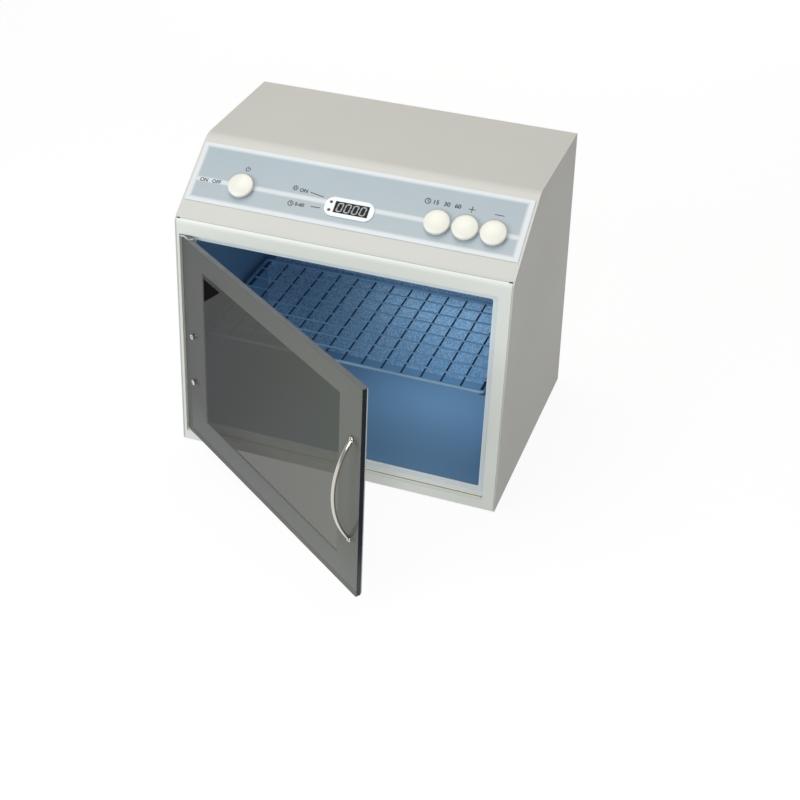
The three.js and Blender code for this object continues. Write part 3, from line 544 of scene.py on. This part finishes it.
reliefs = seamReliefs()
roundedCopy("housing_shell", "bentCover", "coverPaint", 0.5, 3, cutter=reliefs)
roundedCopy("front_frame", "frontFrame", "framePaint", 0.6, 3, cutter=reliefs)
dropItem(reliefs)
roundedCopies(("back_panel", "rearPanel", "coverPaint", 0.35, 2),
              ("base_tray", "baseTray", "zincSheet", 0.35, 2),
              ("door_gasket", "openingSeal", "sealRubber", 0.3, 2))

grooveShade = {"left": -188, "right": 180.5, "middle": -146.9, "wide": 1.6, "floor": 15.2, "low": 0.01,
          "high": 0.16, "plug": 1.7, "plugShoulder": (1.36, 0.5), "plugTop": 0.55, "plugSides": 32}


# A dark line along the rebate's floor, partly a joint and partly painted shade in the rebate's inner corner,
# with a small plug at its free end
def makeJointAndShade():
    g = grooveShade
    line = bmesh.new()
    boxInto(line, (g["left"], g["middle"] - g["wide"] / 2, g["floor"] + g["low"]),
            (g["right"], g["middle"] + g["wide"] / 2, g["floor"] + g["high"]))
    plug = lathe([(0, g["low"]), (g["plug"], g["low"]), (g["plug"], g["high"]), g["plugShoulder"],
                  (0, g["plugTop"])], g["plugSides"])
    whole = joined([meshFrom(line, "line"),
                    meshFrom(plug, "plug", shift(g["right"] + g["plug"], g["middle"], g["floor"]))])
    piece = addPiece("rebateJoint", meshFrom(whole, "rebateJoint"), "jointAndShadeGrey")
    shadePiece(piece)
    finishPiece(piece, "cabinet")


makeJointAndShade()
for place in ("front_left", "front_right", "rear_left", "rear_right"):
    roundedCopy(f"foot_{place}", f"foot.{place}", "footRubber", 0.9, 3)
for names, look, shade in (
        (("chamber_support_left", "chamber_support_right", "board_bracket_left", "board_bracket_right"),
         "zincSheet", 32),
        (("hinge_bracket_top", "hinge_bracket_bottom"), "framePaint", 32),
        (("hinge_pin_top", "hinge_pin_bottom"), "polishedMetal", 40)):
    for node in names:
        roundedCopy(node, node.replace("_", "."), look, 0.3, 2, shade)
print("housing done")

# Chamber
roundedCopy("chamber_liner", "chamberLiner", "linerSheet", 0.4, 2)
for side in ("left", "right"):
    roundedCopies((f"shelf_rail_{side}", f"shelfRail.{side}", "railSteel", 0.35, 2),
                  (f"lamp_holder_{side}", f"lampHolder.{side}", "whitePlastic", 0.8, 3),
                  (f"lamp_cap_{side}", f"lampCap.{side}", "polishedMetal", 0.4, 2, 40))
roundedCopies(("lamp_reflector", "lampReflector", "polishedMetal", 0.2, 1),
              ("uv_lamp", "lampTube", "lampGlass", 1.2, 3, 40),
              ("ballast", "lampBallast", "ballastSheet", 0.8, 3),
              ("terminal_block", "terminalBlock", "whitePlastic", 0.6, 2))

shelf = {"front": -139.5 * mm, "back": 52.5 * mm, "rodX": 173 * mm, "wireX": 168 * mm, "height": 155 * mm,
         "rod": 2.0 * mm, "longWire": 1.15 * mm, "crossWire": 1.0 * mm, "bite": 0.35 * mm, "corner": 5 * mm,
         "weld": 1.35 * mm, "across": 14, "deep": 8, "rodSides": 14, "wireSides": 10, "cornerSteps": 6,
         "longPolygon": 20 * mm, "rodTop": 0.8, "shade": 45}


# A rod frame with round corners, wires both ways and a small weld at each crossing
def shelfTree():
    tree, given = startTree("weldedShelf", {
        "Float": ["Half Width", "Wire Half Width", "Half Depth", "Rod Radius", "Long Wire Radius",
                  "Cross Wire Radius", "Corner Radius", "Cross Height", "Long Height", "Weld Radius"],
        "Int": ["Long Wires", "Cross Wires"], "Material": ["Finish"]})

    def times(value, number):
        return mathNode(tree, "MULTIPLY", value, number)

    def vector(x=0.0, y=0.0, z=0.0):
        return addNode(tree, "ShaderNodeCombineXYZ", {0: x, 1: y, 2: z}).outputs[0]

    def tube(curve, radius, sides):
        ring = addNode(tree, "GeometryNodeCurvePrimitiveCircle", {"Resolution": sides, "Radius": radius})
        inputs = {"Curve": curve, "Profile Curve": ring.outputs["Curve"], "Fill Caps": True}
        return addNode(tree, "GeometryNodeCurveToMesh", inputs).outputs["Mesh"]

    def row(count, start, end, lineStart, lineEnd, radius):
        inputs = {"Count": count, "Start Location": start, "Offset": end}
        points = addNode(tree, "GeometryNodeMeshLine", inputs, mode="END_POINTS").outputs["Mesh"]
        wire = addNode(tree, "GeometryNodeCurvePrimitiveLine", {"Start": lineStart, "End": lineEnd})
        wires = instancesOn(tree, points, wire.outputs["Curve"])
        return tube(realized(tree, wires), radius, shelf["wireSides"])

    halfX, wireX, halfY = given["Half Width"], given["Wire Half Width"], given["Half Depth"]
    crossZ, longZ = given["Cross Height"], given["Long Height"]
    border = addNode(tree, "GeometryNodeCurvePrimitiveQuadrilateral", {
        "Width": times(halfX, 2.0), "Height": times(halfY, 2.0)}).outputs["Curve"]
    rounded = addNode(tree, "GeometryNodeFilletCurve", {
        "Count": shelf["cornerSteps"], "Curve": border, "Radius": given["Corner Radius"]}, mode="POLY")
    rods = tube(rounded.outputs["Curve"], given["Rod Radius"], shelf["rodSides"])
    longWires = row(given["Long Wires"], vector(times(wireX, -1.0), 0.0, longZ), vector(wireX, 0.0, longZ),
                    vector(0.0, times(halfY, -1.0)), vector(0.0, halfY), given["Long Wire Radius"])
    crossWires = row(given["Cross Wires"], vector(0.0, times(halfY, -1.0), crossZ),
                     vector(0.0, halfY, crossZ), vector(times(halfX, -1.0)), vector(halfX),
                     given["Cross Wire Radius"])
    grid = addNode(tree, "GeometryNodeMeshGrid", {
        "Size X": times(wireX, 2.0), "Size Y": times(halfY, 2.0), "Vertices X": given["Long Wires"],
        "Vertices Y": given["Cross Wires"]}).outputs["Mesh"]
    middle = vector(z=times(mathNode(tree, "ADD", crossZ, longZ), 0.5))
    lifted = addNode(tree, "GeometryNodeTransform", {"Geometry": grid, "Translation": middle})
    bead = addNode(tree, "GeometryNodeMeshIcoSphere", {"Subdivisions": 2, "Radius": given["Weld Radius"]})
    welds = instancesOn(tree, lifted.outputs["Geometry"], bead.outputs["Mesh"])
    whole = tree.nodes.new("GeometryNodeJoinGeometry")
    for part in (rods, longWires, crossWires, welds):
        feed(tree, whole, {"Geometry": part})
    endTree(tree, whole.outputs["Geometry"], given["Finish"])
    return tree


def makeShelf():
    s = shelf
    piece = addPiece("wireShelf", bpy.data.meshes.new("wireShelf"))
    modifier = addModifier(piece, "weldedShelf", "NODES", node_group=shelfTree())
    longZ = s["longWire"] - s["rod"]
    crossZ = longZ + s["longWire"] + s["crossWire"] - s["bite"]
    setInputs(modifier, {
        "Half Width": s["rodX"], "Wire Half Width": s["wireX"], "Half Depth": (s["back"] - s["front"]) / 2,
        "Rod Radius": s["rod"], "Long Wire Radius": s["longWire"], "Cross Wire Radius": s["crossWire"],
        "Corner Radius": s["corner"], "Cross Height": crossZ, "Long Height": longZ, "Weld Radius": s["weld"],
        "Long Wires": s["across"] + 1, "Cross Wires": s["deep"] + 1, "Finish": looks["wireMetal"]})
    mesh = applyModifiers(piece)
    mesh.transform(Matrix.Translation((0, (s["front"] + s["back"]) / 2, s["height"])))
    mesh.materials.append(looks["shadedLongWire"])
    mesh.materials.append(looks["highlitRod"])
    # The long wires get the painted shade copy of the wire colour and the front rod the painted highlight
    # copy
    for polygon in mesh.polygons:
        x, y, z = polygon.center
        rows = [mesh.vertices[v].co.y for v in polygon.vertices]
        if y < s["front"] + s["rod"] and z < s["height"] + s["rodTop"] * s["rod"]:
            polygon.material_index = 2
        elif max(rows) - min(rows) > s["longPolygon"] and abs(x) < s["wireX"] + s["longWire"]:
            polygon.material_index = 1
    shadeByAngle(mesh, s["shade"])
    finishPiece(piece, "shelf", "wire_shelf")


makeShelf()
print("chamber done")

# Control panel
roundedCopies(("control_overlay", "panelFilm", "panelFilm", 0.12, 1),
              ("display_bezel", "displayBezel", "bezelPlastic", 0.35, 3),
              ("display_window", "displayWindow", "windowPlastic", 0.3, 2),
              ("display_module", "displayModule", "blackPlastic", 0.3, 1),
              ("control_board", "controlBoard", "boardGreen", 0.2, 1))

button = {"radius": 14.8, "low": 3.4, "wall": 1.6, "inside": 4.8, "shoulder": 6.2, "top": 10.0, "stem": 3.0,
          "stemEnd": -12.0, "chamfer": 0.3, "stemChamfer": 0.4, "edge": 1.4, "edgeEnd": 62, "edgeSteps": 6,
          "domeSteps": 12, "dome": 2.2, "sides": 72, "shade": 38,
          "places": (65, 298.6, 330.8, 363), "row": 53.2}


def makeButtons():
    b = button
    inner, chamfer, stemEdge = b["radius"] - b["wall"], b["chamfer"], b["stemChamfer"]
    profile = [(0, b["stemEnd"]), (b["stem"] - stemEdge, b["stemEnd"]), (b["stem"], b["stemEnd"] + stemEdge),
               (b["stem"], b["inside"]), (inner, b["inside"]), (inner, b["low"] + chamfer),
               (inner + chamfer, b["low"]), (b["radius"] - chamfer, b["low"]),
               (b["radius"], b["low"] + chamfer)]
    profile += arcPoints((b["radius"] - b["edge"], b["shoulder"]), b["edge"], 0, b["edgeEnd"], b["edgeSteps"])
    rim = profile[-1]
    for k in range(b["domeSteps"] - 1, -1, -1):
        t = k / b["domeSteps"]
        profile.append((rim[0] * t, rim[1] + (b["top"] - rim[1]) * (1 - t ** b["dome"])))
    for k, x in enumerate(b["places"], 1):
        mesh = meshFrom(lathe(profile, b["sides"]), f"buttonCap.{k}", panelFrame @ shift(x, b["row"], 0))
        piece = addPiece(f"buttonCap.{k}", mesh, "whitePlastic")
        shadeByAngle(mesh, b["shade"])
        finishPiece(piece, f"button_{k}", f"button_{k}")
        roundedCopies((f"button_sleeve_{k}", f"buttonSleeve.{k}", "blackPlastic", 0.25, 2),
                      (f"button_switch_{k}", f"buttonSwitch.{k}", "blackPlastic", 0.4, 2))


makeButtons()

indicator = {"x": 174, "rows": (55.9, 45.7), "radius": 1.6, "top": 2.4, "bottom": -21.7, "dome": 0.9,
             "degrees": (20, 40, 60, 75), "sides": 28, "shade": 50}


def makeIndicators():
    i = indicator
    rim = i["top"] - i["dome"]
    profile = [(0, i["bottom"]), (i["radius"], i["bottom"]), (i["radius"], rim),
               *domePoints(i["radius"], rim, i["dome"], i["degrees"]), (0, i["top"])]
    for k, y in enumerate(i["rows"], 1):
        mesh = meshFrom(lathe(profile, i["sides"]), f"indicatorLamp.{k}", panelFrame @ shift(i["x"], y, 0))
        piece = addPiece(f"indicatorLamp.{k}", mesh, "indicatorLens")
        shadeByAngle(mesh, i["shade"])
        finishPiece(piece, "cabinet", f"indicator_{k}")


makeIndicators()

# Four numerals of seven bars each, lying on the window
digits = {"middle": 199.3, "row": 50.8, "pitch": 9.1, "wide": 5.6, "tall": 10.2, "bar": 1.5, "gap": 0.45,
          "thick": 0.05, "lean": 8, "height": 1.83, "shown": "0000"}
bars = {"0": "abcdef", "1": "bc", "2": "abged", "3": "abgcd", "4": "fgbc", "5": "afgcd",
        "6": "afgedc", "7": "abc", "8": "abcdefg", "9": "abcdfg"}


def makeDigits():
    d = digits
    end, half = (d["wide"] - d["gap"]) / 2, d["bar"] / 2
    outline = [(-end, 0), (-end + half, half), (end - half, half), (end, 0), (end - half, -half),
               (-end + half, -half)]
    item = loft([[(x, y, z) for x, y in outline] for z in (0, d["thick"])])
    barItem = addPiece("numeralBar", meshFrom(item, "numeralBar"), "segmentGrey")
    w, h = d["wide"] / 2, d["tall"] / 2
    spots = {"a": (0, h, 0), "g": (0, 0, 0), "d": (0, -h, 0), "f": (-w, h / 2, 90), "b": (w, h / 2, 90),
             "e": (-w, -h / 2, 90), "c": (w, -h / 2, 90)}
    slant = math.tan(math.radians(d["lean"]))
    places = []
    for k, numeral in enumerate(d["shown"]):
        x0 = d["middle"] + (k - (len(d["shown"]) - 1) / 2) * d["pitch"]
        for bar in bars[numeral]:
            x, y, turn = spots[bar]
            places.append(((x0 + x + y * slant) * mm, (d["row"] + y) * mm, d["height"] * mm, 0, 0,
                           math.radians(turn - (d["lean"] if turn else 0))))
    piece = scattered("displayNumerals", barItem, places, "segmentGrey", panelFrame)
    dropItem(barItem)
    finishPiece(piece, "cabinet")


makeDigits()

# Plain signs and numbers: a lamp, a clock, ON and OFF, minutes, plus and minus
marks = {
    "width": 0.95, "height": 0.93, "lift": 0.03, "mitre": 0.5, "arcSteps": 24,
    "bold": 0.16, "textScale": 1.35, "textSteps": 4,
    "rays": {"x": 127.5, "y": 65, "count": 8, "start": 2.5, "end": 3.7},
    "circles": ((127.5, 65, 1.7, 0, 360),                      # lamp sign
                (127.8, 45.2, 3.0, 0, 360),                    # clock sign below it
                (65, 77.4, 2.5, 125, 415),                     # power sign above the first button
                (280.5, 79.2, 3.2, 0, 360)),                   # clock sign above the first of the three
    "strokes": (((146, 63.4), (154, 61.8), (163.5, 60.2)),     # lead from the lamp sign
                ((127.8, 47.4), (127.8, 45.2), (129.5, 44.4)),      # hands and lead of the clock
                ((152, 45.8), (163.5, 46.2)),
                ((65, 77.6), (65, 81.2)),                      # power sign
                ((280.5, 81.6), (280.5, 79.2), (282.4, 78.2)),      # hands of the upper clock
                ((327.6, 78.4), (335.4, 78.4)), ((331.5, 74.5), (331.5, 82.3)),      # plus
                ((357.6, 77.6), (368.4, 77.6))),               # minus
    "words": (("ON", 133.2, 61.6, 4.6), ("0-60", 133.0, 43.4, 4.6), ("ON", 13.0, 52.4, 4.6),
              ("OFF", 28.0, 52.4, 4.6), ("15", 286.2, 76.8, 5.4), ("30", 299.0, 76.8, 5.4),
              ("60", 311.6, 76.8, 5.4)),
}


# A flat stroke along the points, with square ends and mitred corners
def ribbon(solid, points, closed=False):
    pts = [Vector(p) for p in points]
    count = len(pts)
    left, right = [], []
    for k, p in enumerate(pts):
        before = pts[k - 1] if k or closed else None
        after = pts[(k + 1) % count] if k < count - 1 or closed else None
        a = (p - before).normalized() if before is not None else (after - p).normalized()
        b = (after - p).normalized() if after is not None else a
        way = (a + b).normalized()
        side = Vector((-way.y, way.x)) * (marks["width"] / 2 / max(marks["mitre"], way.dot(a)))
        left.append(solid.verts.new((*(p + side), 0)))
        right.append(solid.verts.new((*(p - side), 0)))
    for k in range(count if closed else count - 1):
        n = (k + 1) % count
        solid.faces.new((right[k], right[n], left[n], left[k]))


def flatWord(text, x, y, size):
    curve = bpy.data.curves.new("markText", "FONT")
    curve.body = text
    curve.size = size * marks["textScale"] * mm
    curve.resolution_u = marks["textSteps"]
    curve.offset = marks["bold"] * mm
    writing = bpy.data.objects.new("markText", curve)
    bpy.context.scene.collection.objects.link(writing)
    bpy.context.view_layer.update()
    flat = bpy.data.meshes.new_from_object(writing.evaluated_get(bpy.context.evaluated_depsgraph_get()))
    bpy.data.objects.remove(writing)
    bpy.data.curves.remove(curve)
    flat.transform(shift(x, y, 0))
    return flat


def makeMarks():
    solid = bmesh.new()
    for x, y, radius, start, end in marks["circles"]:
        full = end - start >= 360
        points = arcPoints((x, y), radius, start, end, marks["arcSteps"])
        ribbon(solid, points[:-1] if full else points, full)
    r = marks["rays"]
    for k in range(r["count"]):
        a = 2 * math.pi * k / r["count"]
        ribbon(solid, [(r["x"] + reach * math.cos(a), r["y"] + reach * math.sin(a))
                       for reach in (r["start"], r["end"])])
    for points in marks["strokes"]:
        ribbon(solid, points)
    whole = joined([meshFrom(solid, "strokes", Matrix.Scale(mm, 4)),
                    *(flatWord(*word) for word in marks["words"])])
    made = bmesh.ops.extrude_face_region(whole, geom=whole.faces[:])
    for vert in [g for g in made["geom"] if isinstance(g, bmesh.types.BMVert)]:
        vert.co.z += marks["lift"] * mm
    bmesh.ops.recalc_face_normals(whole, faces=whole.faces)
    mesh = meshFrom(whole, "panelMarks", panelFrame @ shift(0, 0, marks["height"]))
    finishPiece(addPiece("panelMarks", mesh, "markInk"), "cabinet")


makeMarks()
print("control panel done")

# Door
door = {"corners": 3.0, "faceFrom": 0.9, "edgeFrom": 0.6, "topFrom": 280 * mm}
paneSlots = {"face": 0, "edge": 1, "cut": 2, "printed": 3}


# Pane and inner frame, with other finishes on their narrow edges; the upward top edges take a grey that is
# partly a raw cut edge and partly painted shade
def makeDoorSheets():
    for node, name, face, edge, width in (("door_glass", "doorPane", "smokedGlass", "paneEdge", 0.7),
                                          ("door_inner_frame", "doorInnerFrame", "innerFramePaint",
                                           "innerFramePaint", 0.3)):
        mesh = roundedCopy(node, name, face, width, 2, corners=door["corners"]).data
        for look in (edge, "cutEdgeAndShade", "printedEdge"):
            mesh.materials.append(looks[look])
        for polygon in mesh.polygons:
            out = polygon.normal
            if abs(out.dot(doorOut)) >= door["faceFrom"]:
                continue
            # painted shade with the cut-edge grey on the upward top edges
            if out.z > door["edgeFrom"] and polygon.center.z > door["topFrom"]:
                polygon.material_index = paneSlots["cut"]
            elif name == "doorPane" and min(out.z, out.dot(doorAcross)) < -door["edgeFrom"]:
                polygon.material_index = paneSlots["printed"]
            else:
                polygon.material_index = paneSlots["edge"]


makeDoorSheets()

patch = {"x": 50.2, "z": 254.4, "wide": 37, "tall": 31, "face": -3.22, "thick": 0.12, "soft": 1.5, "tip": 1}


# A dark three-cornered sheet in the pane's upper hinge corner: painted shade where the pane shows no
# reflection
def makeShadeCorner():
    t = patch
    right, low = t["x"] + t["wide"] - t["soft"], t["z"] - t["tall"] + t["soft"]
    outline = [(t["x"], t["z"]), (right, t["z"]), (right, t["z"] - t["tip"]), (t["x"] + t["tip"], low),
               (t["x"], low)]
    solid = loft([[(x, y, z) for x, z in outline] for y in (t["face"], t["face"] - t["thick"])])
    finishPiece(addPiece("cornerFilm", meshFrom(solid, "cornerFilm", doorFrame), "paintedShadeBlack"), "door")


makeShadeCorner()

handle = {"x": 355.7, "middle": 152.5, "span": 128, "rise": 21.6, "wide": 5.4, "thick": 3.9, "corners": 28,
          "oval": 0.9, "endWidth": 0.86, "endSpread": 9, "steps": 56, "face": -3.49,
          "footRadius": 3.5, "footHeight": 1.5, "footChamfer": 0.3, "footEdge": 0.8, "footSides": 40,
          "shade": 40}


# A full oval, a little squarer than an ellipse
def ovalPoints(wide, thick, count, power):
    turns = [(math.cos(2 * math.pi * k / count), math.sin(2 * math.pi * k / count)) for k in range(count)]
    return [(math.copysign(abs(c) ** power, c) * wide / 2, math.copysign(abs(n) ** power, n) * thick / 2)
            for c, n in turns]


def makeHandle():
    h = handle
    half, rise = h["span"] / 2, h["rise"]
    radius = (half * half + rise * rise) / (2 * rise)
    spread = math.asin(half / radius)
    outline = ovalPoints(h["wide"], h["thick"], h["corners"], h["oval"])
    rings = []
    for k in range(h["steps"] + 1):
        along = 2 * k / h["steps"] - 1
        out = Vector((0, -math.cos(spread * along), math.sin(spread * along)))
        centre = Vector((h["x"], h["face"] - rise + radius, h["middle"])) + out * radius
        width = h["endWidth"] + (1 - h["endWidth"]) * min(1.0, (1 - abs(along)) * h["endSpread"])
        rings.append([centre + Vector((x * width, 0, 0)) + out * y for x, y in outline])
    solid = loft(rings)
    # trim what would run past the feet's seat
    bmesh.ops.bisect_plane(solid, geom=solid.verts[:] + solid.edges[:] + solid.faces[:],
                           plane_co=(0, h["face"] * mm, 0), plane_no=(0, 1, 0), clear_outer=True)
    bmesh.ops.holes_fill(solid, edges=[e for e in solid.edges if e.is_boundary])
    bmesh.ops.recalc_face_normals(solid, faces=solid.faces)
    radius, height, edge = h["footRadius"], h["footHeight"], h["footEdge"]
    foot = [(0, 0), (radius - h["footChamfer"], 0), (radius, h["footChamfer"]), (radius, height - edge),
            *arcPoints((radius - edge, height - edge), edge, 15, 90, 4), (0, height)]
    feet = [meshFrom(lathe(foot, h["footSides"]), "foot",
                     shift(h["x"], h["face"], h["middle"] + end) @ Matrix.Rotation(math.pi / 2, 4, "X"))
            for end in (-half, half)]
    mesh = meshFrom(joined([meshFrom(solid, "bow"), *feet]), "bowHandle", doorFrame)
    piece = addPiece("bowHandle", mesh, "polishedMetal")
    shadeByAngle(mesh, h["shade"])
    finishPiece(piece, "door", "door_handle")


makeHandle()


# The plus-shaped solid that cuts a cross recess, in mm
def crossCutter(arm, wide, low, high, place=None):
    outline = [(wide, arm), (wide, wide), (arm, wide), (arm, -wide), (wide, -wide), (wide, -arm),
               (-wide, -arm), (-wide, -wide), (-arm, -wide), (-arm, wide), (-wide, wide), (-wide, arm)]
    solid = loft([[(x, y, z) for x, y in outline] for z in (low, high)])
    return addPiece("crossCut", meshFrom(solid, "crossCut", place))


screws = {"x": 20.0, "rises": (97.8, 161.9), "top": -5.9, "drive": 1.1, "arm": 2.0, "slot": 0.6, "turn": 0.6}


def makeDoorScrews():
    s = screws
    for k, z in enumerate(s["rises"], 1):
        place = doorFrame @ shift(s["x"], s["top"], z) @ Matrix.Rotation(math.pi / 2, 4, "X") \
            @ Matrix.Rotation(s["turn"] * k, 4, "Z")
        tool = crossCutter(s["arm"], s["slot"] / 2, -s["drive"], 1, place)
        roundedCopy(f"hinge_screw_{k}", f"hingeScrew.{k}", "polishedMetal", 0.8, 3, 40, tool)
        dropItem(tool)
        roundedCopy(f"handle_screw_{k}", f"handleScrew.{k}", "polishedMetal", 0.5, 2, 40)


makeDoorScrews()
print("door done")

# Rear
roundedCopies(("power_inlet", "mainsInlet", "blackPlastic", 0.5, 2),
              ("fuse_drawer", "fuseDrawer", "blackPlastic", 0.5, 2))
rear = {"radius": 3.0, "height": 1.7, "rim": 0.35, "degrees": (25, 45, 65, 80), "sides": 32, "arm": 0.58,
        "slot": 0.17, "recess": 0.5, "turn": 0.37, "edges": (8, 392), "rows": (18, 130, 250, 362),
        "lowColumns": (200,), "highColumns": (110, 200, 290)}


# Pan heads with a cross recess round the back panel
def makeRearScrews():
    r = rear
    radius, height = r["radius"], r["height"]
    rim = height * r["rim"]
    profile = [(0, 0), (radius, 0), (radius, rim),
               *domePoints(radius, rim, height - rim, r["degrees"]), (0, height)]
    head = addPiece("screwHead", meshFrom(lathe(profile, r["sides"]), "screwHead"))
    tool = crossCutter(radius * r["arm"], radius * r["slot"], height * r["recess"], height * 2)
    cutAway(head, tool)
    dropItem(tool)
    spots = [(x, z) for z in r["rows"] for x in r["edges"]]
    spots += [(x, r["rows"][0]) for x in r["lowColumns"]] + [(x, r["rows"][-1]) for x in r["highColumns"]]
    places = [(x * mm, 0.0, z * mm, -math.pi / 2, r["turn"] * k, 0) for k, (x, z) in enumerate(spots)]
    piece = scattered("rearScrews", head, places, "polishedMetal", backFrame, shade=40)
    finishPiece(piece, "cabinet")
    dropItem(head)


pins = {"x": 338, "z": 57.5, "spots": ((-6, -1.6), (6, -1.6), (0, 2.6)), "thick": 2.0, "wide": 4.0,
        "tip": -19.6, "long": 15, "edge": 0.4}


def makeInletPins():
    p = pins
    solid = bmesh.new()
    for dx, dz in p["spots"]:
        x, z = p["x"] + dx, p["z"] + dz
        boxInto(solid, (x - p["thick"] / 2, p["tip"], z - p["wide"] / 2),
                (x + p["thick"] / 2, p["tip"] + p["long"], z + p["wide"] / 2))
    piece = addPiece("inletPins", meshFrom(solid, "inletPins", backFrame), "polishedMetal")
    addModifier(piece, "brokenEdges", "BEVEL", width=p["edge"] * mm, segments=2)
    shadeByAngle(applyModifiers(piece))
    finishPiece(piece, "cabinet")


makeRearScrews()
makeInletPins()
print("rear done")

# Studio
studio = {"floorSize": 14, "floorSeen": 0.9, "floorBounce": 0.2, "floorDark": 0.12,
          "paper": 0.12, "paperRough": 0.9,
          "darkAcross": (0.175, 0.205), "darkForward": (-0.1, -0.28), "darkLeast": 0.4,
          "world": 0.38, "worldSeen": 0.9, "worldColour": (1.0, 0.985, 0.96)}
# Place, target, size, power and colour
lights = {
    "leftLight": ((-1.1, -2.0, 1.3), (0, 0, 0.2), (1.4, 1.0), 19.5, (0.9, 1.0, 1.03)),
    "frontLight": ((0.6, -2.1, 0.95), (0, 0, 0.15), (0.7, 0.5), 12.6, (0.92, 1.0, 1.02)),
    "aboveLight": ((-0.3, 0.0, 2.2), (0, 0, 0.3), (1.6, 1.4), 15, (1.0, 0.95, 0.88)),
    "backLight": ((-0.4, 2.3, 0.4), (0, 0, 0.2), (1.4, 0.4), 12, (1, 1, 1)),
    "chamberLight": ((0.082, 0.005, 0.146), (0.082, 0.02, 0), (0.19, 0.06), 0.09, (1, 1, 1)),
}


# White to look at, little light from below, and mirrored darker at the front right
def makeFloor():
    s = studio
    solid = bmesh.new()
    half = s["floorSize"] / 2
    corners = ((-half, -half), (half, -half), (half, half), (-half, half))
    solid.faces.new([solid.verts.new((x, y, 0)) for x, y in corners])
    floor = addPiece("studioFloor", meshFrom(solid, "studioFloor"))
    material, tree, shader = startMaterial("studioPaper")
    ray = tree.nodes.new("ShaderNodeLightPath").outputs
    across, forward = axesOf(tree, tree.nodes.new("ShaderNodeTexCoord").outputs["Object"])[:2]
    darkPart = mathNode(tree, "MULTIPLY", ranged(tree, across, *s["darkAcross"], smooth=True),
                        ranged(tree, forward, *s["darkForward"], s["darkLeast"], 1.0, True))
    mirrored = ranged(tree, darkPart, 0, 1, s["floorSeen"], s["floorDark"])
    glow = mixedValue(tree, ray["Is Glossy Ray"], s["floorSeen"], mirrored)
    feed(tree, shader, {"Base Color": [s["paper"]] * 3, "Roughness": s["paperRough"],
                        "Specular IOR Level": 0.0, "Emission Color": (1, 1, 1),
                        "Emission Strength": mixedValue(tree, ray["Is Diffuse Ray"], glow, s["floorBounce"])})
    floor.data.materials.append(material)


def makeStudio():
    makeFloor()
    world = bpy.data.worlds.new("studioWorld")
    world.use_nodes = True
    tree = world.node_tree
    ray = tree.nodes.new("ShaderNodeLightPath")
    feed(tree, tree.nodes["Background"], {
        "Color": studio["worldColour"],
        "Strength": mixedValue(tree, ray.outputs["Is Camera Ray"], studio["world"], studio["worldSeen"])})
    bpy.context.scene.world = world
    for name, (place, target, size, energy, colour) in lights.items():
        light = bpy.data.lights.new(name, "AREA")
        light.shape = "RECTANGLE"
        light.size, light.size_y = size
        light.energy = energy
        light.color = colour
        box = bpy.data.objects.new(name, light)
        box.location = place
        box.rotation_euler = (Vector(target) - Vector(place)).to_track_quat("-Z", "Y").to_euler()
        box.visible_glossy = box.visible_camera = name != "chamberLight"
        bpy.context.scene.collection.objects.link(box)


makeStudio()

# Camera
view = {"place": (0.52335, -1.57406, 1.13162), "turn": (58.1345, -1.1269, 20.5516), "lens": 70.25,
        "sensor": 36, "shiftX": 0.06817, "shiftY": -0.07351, "near": 0.05, "far": 50}


def makeCamera():
    camera = bpy.data.cameras.new("photoCamera")
    camera.lens = view["lens"]
    camera.sensor_width = view["sensor"]
    camera.shift_x, camera.shift_y = view["shiftX"], view["shiftY"]
    camera.clip_start, camera.clip_end = view["near"], view["far"]
    eye = bpy.data.objects.new("photoCamera", camera)
    eye.location = view["place"]
    eye.rotation_euler = Euler([math.radians(a) for a in view["turn"]], "XYZ")
    bpy.context.scene.collection.objects.link(eye)
    bpy.context.scene.camera = eye


makeCamera()
bpy.context.scene.view_settings.view_transform = "Standard"
print("studio and camera done")

bpy.context.view_layer.update()
